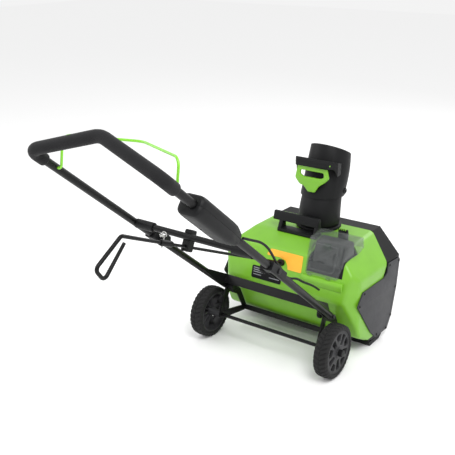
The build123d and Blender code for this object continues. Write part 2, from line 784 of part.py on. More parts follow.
LOOP_BENDS = [42, 60, 42]


def make_upper_tube():
    bail = leg_point(0, 0, BAIL_S)
    with BuildPart() as tube:
        add(bent_rod(handle_loop(PIVOT_S + 20), LEG_R, LOOP_BENDS, bore=LEG_R - TUBE_T))
        add(x_cylinder(bail[1], bail[2], BAIL_R + 0.08, -260, 260), mode=Mode.SUBTRACT)
    return tube.part


def make_foam_grip():
    return bent_rod(handle_loop(FOAM_END_S), FOAM_R, LOOP_BENDS, bore=LEG_R + 0.1)


def make_crossbar():
    point = leg_point(0, 0, CROSSBAR_S)
    with BuildPart() as bar:
        add(x_cylinder(point[1], point[2], 9.5, -LEG_X, LEG_X))
        for x in (-LEG_X, LEG_X):
            with BuildSketch(leg_plane(x, 400)):
                Circle(LEG_R + FIT)
            extrude(amount=300, mode=Mode.SUBTRACT)
    return bar.part


def make_sleeves():
    """Moulded sleeves that join the crossbar to the legs."""
    point = leg_point(0, 0, CROSSBAR_S)
    with BuildPart() as sleeve:
        add(x_cylinder(point[1], point[2], 14, LEG_X - 70, LEG_X - 6))
        fillet(sleeve.faces().sort_by(Axis.X)[0].edges(), radius=2)
        add(x_cylinder(point[1], point[2], 9.5 + FIT, 100, 220), mode=Mode.SUBTRACT)
        with BuildSketch(leg_plane(LEG_X, 400)):
            Circle(LEG_R + FIT)
        extrude(amount=300, mode=Mode.SUBTRACT)
    return group([sleeve.part, mirrored(sleeve.part)])


def make_rod_guide():
    """Hanger on the crossbar that holds the crank rod from above, open at the bottom."""
    point = leg_point(0, 0, CROSSBAR_S)
    s = (point[1] - ROD_FOOT[0]) / ROD_U[0]
    with BuildPart() as guide:
        with BuildSketch(rod_plane(s - 12)):
            with Locations((0, 18)):
                RectangleRounded(24, 62, 5)
        extrude(amount=24)
        add(x_cylinder(point[1], point[2], 9.5 + FIT, ROD_X - 40, ROD_X + 40), mode=Mode.SUBTRACT)
        with BuildSketch(rod_plane(s - 20)):
            with Locations((0, -20 + ROD_R / 2)):
                Rectangle(2 * (ROD_R + GAP), 40 + ROD_R + 2 * GAP)
        extrude(amount=50, mode=Mode.SUBTRACT)
    return guide.part


# ---------------------------------------------------------------- switch box, bail, cable

BOX_X = (162.0, 232.0)
BOX_S = (668.0, 886.0)
BUTTON_AT = (182.0, 836.0)


def switch_box_body():
    """Outer volume of the switch box, tapering at its lower end."""
    with BuildPart() as box:
        with BuildSketch(leg_plane(0, BOX_S[0])):
            with Locations(((BOX_X[0] + BOX_X[1]) / 2 + 6, 0)):
                RectangleRounded(BOX_X[1] - BOX_X[0] - 16, 44, 14)
        with BuildSketch(leg_plane(0, BOX_S[0] + 36)):
            with Locations(((BOX_X[0] + BOX_X[1]) / 2, 0)):
                RectangleRounded(BOX_X[1] - BOX_X[0], 56, 16)
        with BuildSketch(leg_plane(0, BOX_S[1])):
            with Locations(((BOX_X[0] + BOX_X[1]) / 2, 0)):
                RectangleRounded(BOX_X[1] - BOX_X[0], 56, 16)
        loft(ruled=True)
    return box.part


def make_switch_half(upper):
    """One half of the switch box, parted through the middle of the leg."""
    low, high = ((FIT, 60) if upper else (-60, -FIT))
    x_mid = (BOX_X[0] + BOX_X[1]) / 2
    with BuildPart() as half:
        add(switch_box_body())
        with BuildSketch(leg_plane(0, BOX_S[0] - 10)):
            with Locations((x_mid, (low + high) / 2)):
                Rectangle(120, high - low)
        extrude(amount=BOX_S[1] - BOX_S[0] + 20, mode=Mode.INTERSECT)
        with BuildSketch(leg_plane(LEG_X, BOX_S[0] - 10)):
            Circle(LEG_R + FIT)
        extrude(amount=BOX_S[1] - BOX_S[0] + 20, mode=Mode.SUBTRACT)
        with BuildSketch(leg_plane(0, BOX_S[0] + 30)):
            with Locations((179, 0)):
                RectangleRounded(24, 34, 4)
        extrude(amount=BOX_S[1] - BOX_S[0] - 44, mode=Mode.SUBTRACT)
        if upper:
            well = Plane(origin=leg_point(BUTTON_AT[0], 10, BUTTON_AT[1]), x_dir=(1, 0, 0),
                         z_dir=(0, LEG_U[1], -LEG_U[0]))
            with BuildSketch(well):
                Circle(9.5)
            extrude(amount=40, mode=Mode.SUBTRACT)
    return half.part


def make_start_button():
    """Round push button on top of the switch box."""
    seat = Plane(origin=leg_point(BUTTON_AT[0], 17.5, BUTTON_AT[1]), x_dir=(1, 0, 0),
                 z_dir=(0, LEG_U[1], -LEG_U[0]))
    with BuildPart() as button:
        with BuildSketch(seat):
            Circle(9.2)
        extrude(amount=15)
        fillet(button.faces().sort_by(Axis((0, 0, 0), (0, LEG_U[1], -LEG_U[0])))[-1].edges(), radius=2)
    return button.part


def make_microswitch():
    with BuildPart() as switch:
        with BuildSketch(leg_plane(0, BUTTON_AT[1] - 12)):
            with Locations((179, -5)):
                Rectangle(16, 20)
        extrude(amount=24)
    return switch.part


def make_bail():
    """Bent wire lever: hooked outside the left leg, and through both legs at its pivot."""
    pivot = leg_point(0, 0, BAIL_S)
    rise = (pivot[1] + 12, pivot[2] + 84)
    inner = LEG_X - LEG_R - 11
    points = [
        (-LEG_X - 22, pivot[1], pivot[2]), (-inner, pivot[1], pivot[2]), (-inner, rise[0], rise[1]),
        (0, pivot[1] + 100, pivot[2] + 76), (inner, rise[0], rise[1]), (inner, pivot[1], pivot[2]),
        (LEG_X + 22, pivot[1], pivot[2]),
    ]
    return bent_rod(points, BAIL_R, [9, 22, 40, 22, 9])


UPPER_CABLE = [
    leg_point(222, 8, 666), leg_point(225, 16, 634), leg_point(227, 29, 590), leg_point(226, 31, 545),
    leg_point(222, 24, 500), leg_point(214, 20, 460), leg_point(207, 20, 440),
]
LOWER_CABLE = [
    leg_point(205, 20, 424), leg_point(197, 20, 384), leg_point(188, 12, 346), leg_point(187, 17, 302),
    leg_point(186, 32, 262), leg_point(186, 36, 216), leg_point(186, 44, 172), leg_point(184, 50, 128),
    leg_point(182, 52, 92),
]
CABLE_R = 3.5


def make_cable(points):
    return bent_rod(points, CABLE_R, cord_bends(points))


# ---------------------------------------------------------------- chute

def ring_sketch(outer, inner, z):
    with BuildSketch(Plane.XY.offset(z)) as ring:
        with Locations((0, CHUTE_Y)):
            Circle(outer)
            Circle(inner, mode=Mode.SUBTRACT)
    return ring.sketch


def make_chute_base():
    """Collar on top of the housing that the chute turns in."""
    with BuildPart() as collar:
        extrude(ring_sketch(CHUTE_R + 12, CHUTE_R + 0.4, TOP_Z + 0.1), amount=9)
        chamfer(collar.edges().filter_by(GeomType.CIRCLE).sort_by(Axis.Z)[-1], length=2)
    return collar.part


def tube_loft(sections, inset):
    """Solid through level circles, each given as height, Y of its centre and radius."""
    with BuildPart() as solid:
        for z, y, radius in sections:
            with BuildSketch(Plane.XY.offset(z)):
                with Locations((0, y)):
                    Circle(radius - inset)
        loft(ruled=True)
    return solid.part


def make_chute_neck():
    """Round tube that rises from its toothed ring and leans forward to the pins of the deflector."""
    bore = CHUTE_R - 4 - CHUTE_WALL
    pin_y, pin_z = HOOD_PIVOT
    with BuildPart() as neck:
        add(tube_loft(NECK_SECTIONS, 0))
        add(tube_loft(NECK_SECTIONS, CHUTE_WALL), mode=Mode.SUBTRACT)
        extrude(ring_sketch(CHUTE_R, bore, 352), amount=24.5)
        extrude(ring_sketch(RING_R - 2, bore, 341), amount=8)
        extrude(ring_sketch(CHUTE_R - 4, bore, 348), amount=5)
        with BuildSketch(Plane.XY.offset(341)):
            with Locations((0, CHUTE_Y)):
                with PolarLocations(RING_R - 2, 48):
                    Rectangle(3.2, 3.4)
        extrude(amount=8)
        add(yz_slab([(80, 512), (96, 462), (150, 462), (150, 512)], -100, 100), mode=Mode.SUBTRACT)
        for x in (61, -81):
            add(x_cylinder(pin_y, pin_z, 3, x, x + 20))
    return neck.part


def make_hood():
    """Deflector: a round shell leaning forward, open in front, with the grip's cowl behind it."""
    front = [(78, 440), (86, 508), (142, 592), (142, 700), (260, 700), (260, 440)]
    rim = [(-60, 701), (260, 544), (260, 760), (-60, 760)]
    pin_y, pin_z = HOOD_PIVOT
    with BuildPart() as hood:
        add(tube_loft(HOOD_SECTIONS, 0))
        for x in (70, -79):
            add(x_cylinder(pin_y, pin_z, 10, x, x + 9))
        add(make_visor())
        add(tube_loft(HOOD_SECTIONS, CHUTE_WALL), mode=Mode.SUBTRACT)
        add(yz_slab(front, -100, 100), mode=Mode.SUBTRACT)
        add(yz_slab(rim, -100, 100), mode=Mode.SUBTRACT)
        add(yz_slab([(-100, 400), (200, 400), (200, HOOD_BOTTOM), (-100, HOOD_BOTTOM)], -100, 100),
            mode=Mode.SUBTRACT)
        add(x_cylinder(pin_y, pin_z, 3 + FIT, -100, 100), mode=Mode.SUBTRACT)
    return hood.part


TRIGGER_PIVOT = (-26.0, 601.0)


def cowl_plan(inset):
    """Plan of the cowl: straight across the back, with arms that spread to the hood's sides."""
    side, back = 80 - inset, inset - 38
    with BuildPart() as prism:
        with BuildSketch(Plane.XY.offset(500)):
            with BuildLine():
                Polyline((-side, 70), (-side, 6), (-58 + inset / 2, back), (58 - inset / 2, back), (side, 6),
                         (side, 70), close=True)
            make_face()
        extrude(amount=150)
    return prism.part


def make_visor():
    """Cowl over the trigger: a roof and skirt whose arms reach forward to the hood."""
    outside = [
        (-38, 590), (-38, 611), (-28, 617), (10, 606), (70, 587), (70, 560), (4, 560), (-8, 584), (-22, 590),
    ]
    below_roof = [(-60, 500), (-60, 608), (-34, 608), (-27, 613), (10, 602), (90, 577), (90, 500)]
    with BuildPart() as hollow:
        add(cowl_plan(3.5))
        add(yz_slab(below_roof, -100, 100), mode=Mode.INTERSECT)
    with BuildPart() as cowl:
        add(cowl_plan(0))
        add(yz_slab(outside, -100, 100), mode=Mode.INTERSECT)
        add(hollow.part, mode=Mode.SUBTRACT)
        add(x_cylinder(*TRIGGER_PIVOT, 3 + FIT, -100, 100), mode=Mode.SUBTRACT)
    return cowl.part


def make_trigger():
    """Green finger trigger: a closed loop hung on a pin under the cowl."""
    hinge_y, hinge_z = TRIGGER_PIVOT
    with BuildPart() as trigger:
        with BuildSketch(Plane(origin=(0, hinge_y, 0), x_dir=(1, 0, 0), z_dir=(0, -1, 0))):
            with BuildLine():
                Polyline((-50, 605.5), (50, 605.5), (55, 591), (64, 556), (48, 540), (26, 524), (12, 501),
                         (-14, 501), (-30, 519), (-48, 524), (-65, 544), (-55, 591), close=True)
            make_face()
            with Locations((0, 563)):
                RectangleRounded(90, 22, 8, mode=Mode.SUBTRACT)
        extrude(amount=4.5, both=True)
        add(x_cylinder(hinge_y, hinge_z, 3, -66, 66))
    return trigger.part


# ---------------------------------------------------------------- crank

def bevel_gear(plane, small, large, height):
    """Plain cone in place of a bevel gear's teeth."""
    with BuildPart() as cone:
        with BuildSketch(plane):
            Circle(large)
        with BuildSketch(plane.offset(height)):
            Circle(small)
        loft()
    return cone.part


ELBOW_S = (-931.0 - ROD_FOOT[0]) / ROD_U[0]
COUPLER_S = (-763.0 - ROD_FOOT[0]) / ROD_U[0]


def make_crank_rod():
    """Front rod with its bevel pinion, and the socket that takes the hand loop's rod."""
    with BuildPart() as rod:
        add(straight_rod(rod_point(0), rod_point(COUPLER_S - 2), ROD_R))
        add(bevel_gear(rod_plane(0.1), 13, 6, -9))
        add(straight_rod(rod_point(COUPLER_S - 26), rod_point(COUPLER_S + 26), 9))
        add(straight_rod(rod_point(COUPLER_S + 1), rod_point(COUPLER_S + 30), 5.5 + FIT), mode=Mode.SUBTRACT)
        add(straight_rod(rod_point(COUPLER_S + 14, 20), rod_point(COUPLER_S + 14, -20), 1.5 + FIT),
            mode=Mode.SUBTRACT)
    return rod.part


def make_crank_handle():
    """Rear half of the crank: straight end, then an open triangular hand loop."""
    points = [
        rod_point(COUPLER_S + 2), rod_point(ELBOW_S), (ROD_X, -1026, 560), (ROD_X, -998, 521), (ROD_X, -921, 596),
    ]
    with BuildPart() as handle:
        add(bent_rod(points, 5.5, [12, 12, 12]))
        add(straight_rod(rod_point(COUPLER_S + 14, 20), rod_point(COUPLER_S + 14, -20), 1.5 + FIT),
            mode=Mode.SUBTRACT)
    return handle.part


def make_clip():
    """Spring clip whose straight leg pins the hand loop's rod in its socket."""
    return bent_rod([
        rod_point(COUPLER_S + 14, -14), rod_point(COUPLER_S + 14, 17), rod_point(COUPLER_S + 34, 19),
        rod_point(COUPLER_S + 36, 12),
    ], 1.5, [4, 3])


SHAFT_AT = (-18.0, -53.0)


def make_chute_shaft():
    """Upright shaft: a bevel gear below and the chute's pinion above."""
    with BuildPart() as shaft:
        with BuildSketch(Plane.XY.offset(262)):
            with Locations(SHAFT_AT):
                Circle(5)
        extrude(amount=92)
        with BuildSketch(Plane.XY.offset(262)):
            with Locations(SHAFT_AT):
                Circle(12)
        extrude(amount=8)
        with BuildSketch(Plane.XY.offset(341)):
            with Locations(SHAFT_AT):
                Circle(PINION_R - 3)
                with PolarLocations(PINION_R - 3, 8):
                    Rectangle(3.2, 3.0)
        extrude(amount=8)
    return shaft.part


def build_all():
    right_side_cover = make_side_cover()
    side_frame = make_side_frame()
    tyre = make_tyre()
    hub = make_hub()
    tube = make_lower_tube()
    fork = make_fork()
    lower_knob = make_knob(0, 164, 187.2)
    upper_knob = make_knob(PIVOT_S, 168, 190.2)
    lower_bolt = make_bolt(0, 173, 218.2)
    upper_bolt = make_bolt(PIVOT_S, 177, 224)
    pieces = {
        "main_housing": make_main_housing(), "auger_shell": make_auger_shell(),
        "right_side_cover": right_side_cover, "left_side_cover": mirrored(right_side_cover),
        "cover_screws": make_cover_screws(), "scraper_blade": make_scraper(),
        "auger_paddles": make_auger_paddles(), "auger_shaft": make_auger_shaft(),
        "auger_bearings": make_auger_bearings(), "auger_pulley": make_auger_pulley(),
        "drive_belt": make_belt(), "motor_case": make_motor(), "motor_rotor": make_motor_rotor(),
        "motor_mount": make_motor_mount(), "controller": make_controller(),
        "battery_bay": make_battery_bay(), "battery": make_battery(), "battery_door": make_battery_door(),
        "door_latch": make_door_latch(), "carry_handle": make_carry_handle(), "rod_boot": make_rod_bush(),
        "warning_label": make_warning_label(), "rating_plate": make_rating_plate(),
        "frame_plates": group([side_frame, mirrored(side_frame)]), "lower_bar": make_lower_bar(),
        "axle": make_axle(), "axle_caps": make_axle_caps(),
        "right_tyre": tyre, "left_tyre": mirrored(tyre), "right_hub": hub, "left_hub": mirrored(hub),
        "lower_legs": group([tube, mirrored(tube)]), "cross_plate": make_cross_plate(),
        "lower_bolts": group([lower_bolt, mirrored(lower_bolt)]),
        "upper_bolts": group([upper_bolt, mirrored(upper_bolt)]),
        "lower_right_knob": lower_knob, "lower_left_knob": mirrored(lower_knob),
        "upper_right_knob": upper_knob, "upper_left_knob": mirrored(upper_knob),
        "upper_tube": make_upper_tube(), "foam_grip": make_foam_grip(), "crossbar": make_crossbar(),
        "crossbar_sleeves": make_sleeves(), "rod_guide": make_rod_guide(),
        "fold_forks": group([fork, mirrored(fork)]),
        "switch_box_top": make_switch_half(True), "switch_box_bottom": make_switch_half(False),
        "start_button": make_start_button(), "bail_switch": make_microswitch(), "bail_lever": make_bail(),
        "switch_cable": make_cable(UPPER_CABLE), "leg_cable": make_cable(LOWER_CABLE),
        "chute_collar": make_chute_base(), "chute_neck": make_chute_neck(), "chute_hood": make_hood(),
        "hood_trigger": make_trigger(), "chute_shaft": make_chute_shaft(),
        "crank_rod": make_crank_rod(), "crank_handle": make_crank_handle(), "crank_clip": make_clip(),
    }
    for name, piece in pieces.items():
        finish(piece, name)


build_all()
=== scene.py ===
import json
import math

import bmesh
import bpy
from mathutils import Matrix, Vector


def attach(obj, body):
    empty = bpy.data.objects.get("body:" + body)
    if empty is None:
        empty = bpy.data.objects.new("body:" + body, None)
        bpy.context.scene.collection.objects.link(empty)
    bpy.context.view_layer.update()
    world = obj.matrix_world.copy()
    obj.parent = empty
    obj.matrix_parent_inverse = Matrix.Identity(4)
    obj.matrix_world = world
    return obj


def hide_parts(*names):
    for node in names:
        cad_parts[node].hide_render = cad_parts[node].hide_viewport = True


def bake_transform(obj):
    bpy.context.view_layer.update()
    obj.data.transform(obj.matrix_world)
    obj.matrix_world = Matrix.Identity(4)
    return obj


# Looks of a cordless snow blower. Shapes are given in millimetres and placed in metres, in the frame
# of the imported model: origin on the ground under the scraper, +X right, +Y forward, +Z up.

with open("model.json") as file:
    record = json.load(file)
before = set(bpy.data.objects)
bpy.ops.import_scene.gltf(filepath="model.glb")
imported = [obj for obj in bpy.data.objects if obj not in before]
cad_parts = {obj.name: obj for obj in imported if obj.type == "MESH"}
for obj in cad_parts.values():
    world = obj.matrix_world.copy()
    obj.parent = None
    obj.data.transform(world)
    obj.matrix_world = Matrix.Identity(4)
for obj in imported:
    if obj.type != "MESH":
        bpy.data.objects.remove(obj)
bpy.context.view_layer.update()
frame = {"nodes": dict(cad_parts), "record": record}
NODES = frame["nodes"]
MM = 0.001
BODY_OF = {node: body
           for body, members in frame["record"]["behaviour"]["bodies"].items()
           for node in members}
SLOT_OF = {entry["node"]: entry["material_slot"] for entry in frame["record"]["subparts"]}
YZ = ((0, 1, 0), (0, 0, 1))
FACING_BACK = ((1, 0, 0), (0, 0, 1))


# ------------------------------------------------------------------ driving dimensions, as in the CAD

# Wheels
WHEEL_R, WHEEL_W, WHEEL_X = 89.0, 48.0, 241.0
RIM_R, SHOULDER_R = 70.0, 78.0
AXLE_Y = -280.0
LUGS, GROOVE = 34, 2.4
SPOKES = 5

# Handle: s is the distance up a leg from the lower fold, lift the distance off the leg's line
LEG_X, LEG_R = 207.0, 11.0
FOLD_Y, FOLD_Z = -240.0, 184.0
LEG_A = math.radians(39.1)
LEG_U = (-math.cos(LEG_A), math.sin(LEG_A))
PIVOT_S, BAIL_S, GRIP_S, CORNER_S = 438.0, 926.0, 966.0, 1022.0
GRIP_R, BAIL_WIRE_R = 16.5, 3.5
APEX = (0.0, -1000.0, 887.0)
LOOP_BENDS = [0, 42, 60, 42, 0]

# Switch box and its button, on the right leg. Sections are (s, width, height, corner radius)
BUTTON_X, BUTTON_S = 182, 836
BOX_START_S, BOX_END_S = 640, 910
BOX_SECTIONS = [(668, 26, 18, 6), (669.5, 34, 26, 9), (676, 46, 38, 13), (690, 58, 48, 15),
                (706, 66, 54, 17), (730, 70, 56, 18), (868, 70, 56, 18), (880, 66, 53, 17),
                (885, 56, 44, 15), (886, 44, 34, 12)]

# Housing. Outlines are (y, z), and a slope is its low and high line
BODY_HALF, SHOULDER_HALF, TOP_Z, SKIN = 260.0, 182.0, 368.0, 3.5
BODY_SIDE = [(120, 368), (82, 368), (-80, 363), (-163, 334), (-182, 270), (-195, 206), (-132, 70),
             (-62, 32), (0, 30), (120, 30)]
HOLLOW_SIDE = [(130, 364.5), (-79.4, 359.5), (-160, 331.2), (-178.4, 269.4), (-191.2, 206.4),
               (-129, 73.2), (-82, 48), (-82, -20), (130, -20)]
FRONT_CUT = [(82, 400), (82, 368), (46, 281), (22, 236), (12, 100), (0, 30), (0, 0), (300, 0), (300, 400)]
LABEL_SLOPE = ((-182.1, 270), (-163.1, 334))
PLATE_SLOPE = ((-195.1, 206), (-182.1, 270))
LID_SLOPE = ((-188, 280), (-144.5, 395))
BATTERY_SLOPE = ((-167.5, 293), (-133, 381.5))
AUGER_Y, AUGER_Z = 10, 142
LID_HINGE = (-189, 281)
CATCH_HINGE = (-55, 369.6)

# Chute: sections of the neck are (z, centre Y, radius)
CHUTE_Y, CHUTE_BORE_R = 32, 58
RING_TEETH, RING_TIP_R, RING_ROOT_R = 48, 73.6, 71.4
NECK_SECTIONS = ((376.4, 32, 66), (388, 33, 72), (437, 38, 71), (500, 54, 66.5))
HOOD_SECTIONS = ((466, 46.8, 76.1), (569, 83, 75), (690, 104, 63))
WALL = 4
PIN_HOLE_R = 3.05
HOOD_PIVOT = (68, 495)
TRIGGER_PIVOT = (-26, 601)

# Crank rod: s is the distance up the rod from its gear
ROD_X, ROD_FOOT_Y, ROD_FOOT_Z = -18.0, -98.0, 254.5
SOCKET_Y, ELBOW_Y = -763.0, -931.0
ROD_A = math.radians(23.55)
ROD_U = (-math.cos(ROD_A), math.sin(ROD_A))

# Lead from the switch box to the housing: points are (x, lift, s) along the right leg
CABLE_R = 3.5
UPPER_CABLE = [(222, 8, 666), (225, 16, 634), (227, 29, 590), (226, 31, 545), (222, 24, 500),
               (214, 20, 460), (207, 20, 440)]
LOWER_CABLE = [(205, 20, 424), (197, 20, 384), (188, 12, 346), (187, 17, 302), (186, 32, 262),
               (186, 36, 216), (186, 44, 172), (184, 50, 128), (182, 52, 92)]


def leg_point(x, lift, s):
    y = FOLD_Y + LEG_U[0] * s + LEG_U[1] * lift
    z = FOLD_Z + LEG_U[1] * s - LEG_U[0] * lift
    return (x, y, z)


def rod_point(s, lift=0.0):
    y = ROD_FOOT_Y + ROD_U[0] * s + ROD_U[1] * lift
    z = ROD_FOOT_Z + ROD_U[1] * s - ROD_U[0] * lift
    return (ROD_X, y, z)


# ------------------------------------------------------------------ camera, floor and light

# Metres, radians from level and from facing +Y, and millimetres of lens on a 36 mm sensor
CAMERA_PLACE = (1.25496, -2.24099, 1.30748)
CAMERA_DOWN, CAMERA_ROUND = 0.3538, 0.6273
CAMERA_LENS = 62.17

# Name, place in metres, size in metres, power in watts
LIGHTS = (("key_light", (1.6, -1.6, 3.0), 1.6, 60.0),
          ("fill_light", (-2.4, -1.4, 1.8), 2.0, 22.0),
          ("back_light", (0.4, 2.6, 2.4), 2.0, 30.0))
LIT_POINT = (0.0, -0.3, 0.3)
SKY_STRENGTH = 0.9
FLOOR_HALF = 12


def add_camera():
    data = bpy.data.cameras.new("camera")
    data.lens = CAMERA_LENS
    data.sensor_width = 36.0
    camera = bpy.data.objects.new("camera", data)
    camera.location = CAMERA_PLACE
    camera.rotation_euler = (math.pi / 2 - CAMERA_DOWN, 0.0, CAMERA_ROUND)
    bpy.context.scene.collection.objects.link(camera)
    bpy.context.scene.camera = camera
    bpy.context.scene.view_settings.view_transform = "Standard"


def add_area_light(name, place, size, power):
    data = bpy.data.lights.new(name, "AREA")
    data.shape = "DISK"
    data.size = size
    data.energy = power
    light = bpy.data.objects.new(name, data)
    light.location = place
    light.rotation_euler = (Vector(LIT_POINT) - Vector(place)).to_track_quat("-Z", "Y").to_euler()
    bpy.context.scene.collection.objects.link(light)


def add_studio():
    world = bpy.data.worlds.new("studio")
    bpy.context.scene.world = world
    world.use_nodes = True
    background = world.node_tree.nodes["Background"]
    background.inputs["Color"].default_value = (1.0, 1.0, 1.0, 1.0)
    background.inputs["Strength"].default_value = SKY_STRENGTH
    for light in LIGHTS:
        add_area_light(*light)
    corners = [(x * FLOOR_HALF, y * FLOOR_HALF, 0) for x, y in ((-1, -1), (1, -1), (1, 1), (-1, 1))]
    mesh = bpy.data.meshes.new("floor")
    mesh.from_pydata(corners, [], [(0, 1, 2, 3)])
    floor = bpy.data.objects.new("floor", mesh)
    bpy.context.scene.collection.objects.link(floor)
    finish = surface("floor_white", (0.97, 0.97, 0.97), 0.95, grain=0.0, shade=0.0, gloss=0.0)
    floor.data.materials.append(finish)


# ------------------------------------------------------------------ materials

# Sizes in mm of the patches of colour and of gloss on a surface, the grain's depth in metres, and how
# far the roughness strays either way
COLOUR_PATCH, GLOSS_PATCH = 60.0, 18.0
GRAIN_DEPTH = 0.0004
ROUGH_SPREAD = 0.07


def surface(name, colour, rough, grain=0.12, grain_size=0.4, shade=0.12, metal=0.0, coat=0.0, sheen=0.0,
            gloss=0.5, alpha=1.0):
    """Procedural finish: colour variation, uneven gloss and a moulded or sprayed grain. Sizes in mm."""
    made = bpy.data.materials.new(name)
    made.use_nodes = True
    nodes, links = made.node_tree.nodes, made.node_tree.links
    shader = nodes["Principled BSDF"]
    shader.inputs["Metallic"].default_value = metal
    shader.inputs["Coat Weight"].default_value = coat
    shader.inputs["Coat Roughness"].default_value = 0.2
    shader.inputs["Sheen Weight"].default_value = sheen
    shader.inputs["Specular IOR Level"].default_value = gloss
    shader.inputs["Alpha"].default_value = alpha
    place = nodes.new("ShaderNodeTexCoord")

    def noise(size_mm, detail):
        made_noise = nodes.new("ShaderNodeTexNoise")
        made_noise.inputs["Scale"].default_value = 1000.0 / size_mm
        made_noise.inputs["Detail"].default_value = detail
        links.new(place.outputs["Object"], made_noise.inputs["Vector"])
        return made_noise.outputs["Fac"]

    ramp = nodes.new("ShaderNodeValToRGB")
    darker, paler = ramp.color_ramp.elements
    darker.position = 0.3
    paler.position = 0.7
    darker.color = (*[c * (1 - shade) for c in colour], 1)
    paler.color = (*[min(1.0, c * (1 + shade)) for c in colour], 1)
    links.new(noise(COLOUR_PATCH, 6.0), ramp.inputs["Fac"])
    links.new(ramp.outputs["Color"], shader.inputs["Base Color"])
    uneven = nodes.new("ShaderNodeMapRange")
    uneven.inputs["To Min"].default_value = max(0.02, rough - ROUGH_SPREAD)
    uneven.inputs["To Max"].default_value = min(1.0, rough + ROUGH_SPREAD)
    links.new(noise(GLOSS_PATCH, 4.0), uneven.inputs["Value"])
    links.new(uneven.outputs["Result"], shader.inputs["Roughness"])
    if grain:
        bump = nodes.new("ShaderNodeBump")
        bump.inputs["Strength"].default_value = grain
        bump.inputs["Distance"].default_value = GRAIN_DEPTH
        links.new(noise(grain_size * 4, 2.0), bump.inputs["Height"])
        links.new(bump.outputs["Normal"], shader.inputs["Normal"])
    return made


# The finish of each of the record's material slots
LOOKS = {
    "green_plastic": surface("green_moulding", (0.165, 0.42, 0.018), 0.40, shade=0.05, coat=0.12),
    "dark_plastic": surface("charcoal_moulding", (0.0060, 0.0062, 0.0068), 0.5, grain=0.2, gloss=0.2),
    "grey_plastic": surface("grey_moulding", (0.038, 0.038, 0.042), 0.55, grain=0.25, gloss=0.3),
    "black_steel": surface("black_powder_coat", (0.0035, 0.0035, 0.0038), 0.36, grain=0.25, gloss=0.22),
    "bare_steel": surface("zinc_plate", (0.50, 0.50, 0.48), 0.3, grain=0.05, metal=1.0),
    "black_rubber": surface("black_rubber", (0.006, 0.006, 0.006), 0.62, grain=0.2, gloss=0.25),
    "tyre_rubber": surface("tyre_rubber", (0.009, 0.009, 0.009), 0.7, grain=0.35, gloss=0.3),
    "foam": surface("closed_cell_foam", (0.0105, 0.0105, 0.0115), 0.85, grain=0.8, grain_size=0.6,
                    gloss=0.2, sheen=0.08),
    "clear_lid": surface("smoked_clear", (0.13, 0.14, 0.14), 0.10, grain=0.03, grain_size=2.0,
                         gloss=0.9, alpha=0.22),
    "orange_paper": surface("orange_film", (0.88, 0.42, 0.03), 0.45, grain=0.03, shade=0.05),
    "green_paint": surface("green_enamel", (0.22, 0.62, 0.025), 0.30, grain=0.06, coat=0.3, shade=0.05),
    "electronics": surface("black_housing", (0.012, 0.014, 0.012), 0.5, grain=0.2),
}
# Finishes of pieces that look different from the rest of their slot
EXTRA = {
    "label_pale": surface("label_silver", (0.22, 0.23, 0.24), 0.4, grain=0.02),
    "battery_grey": surface("battery_shell", (0.060, 0.063, 0.062), 0.5, grain=0.25, gloss=0.3),
    "battery_green": surface("battery_trim", (0.012, 0.035, 0.014), 0.5, grain=0.2, gloss=0.3),
    "hub_grey": surface("hub_moulding", (0.030, 0.030, 0.032), 0.55, grain=0.25, gloss=0.3),
}


def dress_frame():
    """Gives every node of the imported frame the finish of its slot."""
    for node, slot in SLOT_OF.items():
        mesh = NODES[node].data
        mesh.materials.clear()
        mesh.materials.append(LOOKS[slot])


# ------------------------------------------------------------------ mesh helpers, all sizes in mm

def at(origin, u, v):
    """Matrix that carries local millimetres (u, v, normal) into the object's metres."""
    across, up = Vector(u).normalized(), Vector(v).normalized()
    normal = across.cross(up)
    turn = Matrix((across, up, normal)).transposed().to_4x4()
    return Matrix.Translation(Vector(origin) * MM) @ turn @ Matrix.Scale(MM, 4)


def on_slope(slope, lift):
    """Matrix of a sloping face: u along X and v up from its low line, lifted off it."""
    low, high = [Vector((0, y, z)) for y, z in slope]
    up = (high - low).normalized()
    out = Vector((0, -up.z, up.y))
    return at(low + out * lift, (1, 0, 0), up)


def smooth(mesh, angle=32):
    mesh.polygons.foreach_set("use_smooth", [True] * len(mesh.polygons))
    mesh.set_sharp_from_angle(angle=math.radians(angle))
    return mesh


def piece(name, mesh, node, stands_for=(), look=None, extra=None):
    """Puts a finished mesh on the body and in the material slot of a CAD node."""
    obj = bpy.data.objects.new(name, mesh)
    bpy.context.scene.collection.objects.link(obj)
    mesh.materials.clear()
    mesh.materials.append(EXTRA[extra] if extra else LOOKS[look or SLOT_OF[node]])
    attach(obj, BODY_OF[node])
    if stands_for:
        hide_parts(*stands_for)
    return obj


def pair(name, mesh, node, extra=None):
    """The piece on the right of the object, and its mirror image on the left."""
    piece(f"right_{name}", mesh, f"right_{node}", [f"right_{node}"], extra=extra)
    piece(f"left_{name}", mirrored(mesh), f"left_{node}", [f"left_{node}"], extra=extra)


def from_bmesh(bm, weld=0.0):
    if weld:
        bmesh.ops.remove_doubles(bm, verts=bm.verts, dist=weld)
    bmesh.ops.recalc_face_normals(bm, faces=bm.faces)
    mesh = bpy.data.meshes.new("made")
    bm.to_mesh(mesh)
    bm.free()
    return mesh


def joined(meshes):
    """One mesh out of several."""
    bm = bmesh.new()
    for mesh in meshes:
        bm.from_mesh(mesh)
    made = bpy.data.meshes.new("joined")
    bm.to_mesh(made)
    bm.free()
    return made


def mirrored(mesh):
    """The same mesh on the other side of the object."""
    bm = bmesh.new()
    bm.from_mesh(mesh)
    for vertex in bm.verts:
        vertex.co.x = -vertex.co.x
    bmesh.ops.reverse_faces(bm, faces=bm.faces)
    made = bpy.data.meshes.new("mirrored")
    bm.to_mesh(made)
    bm.free()
    return smooth(made)


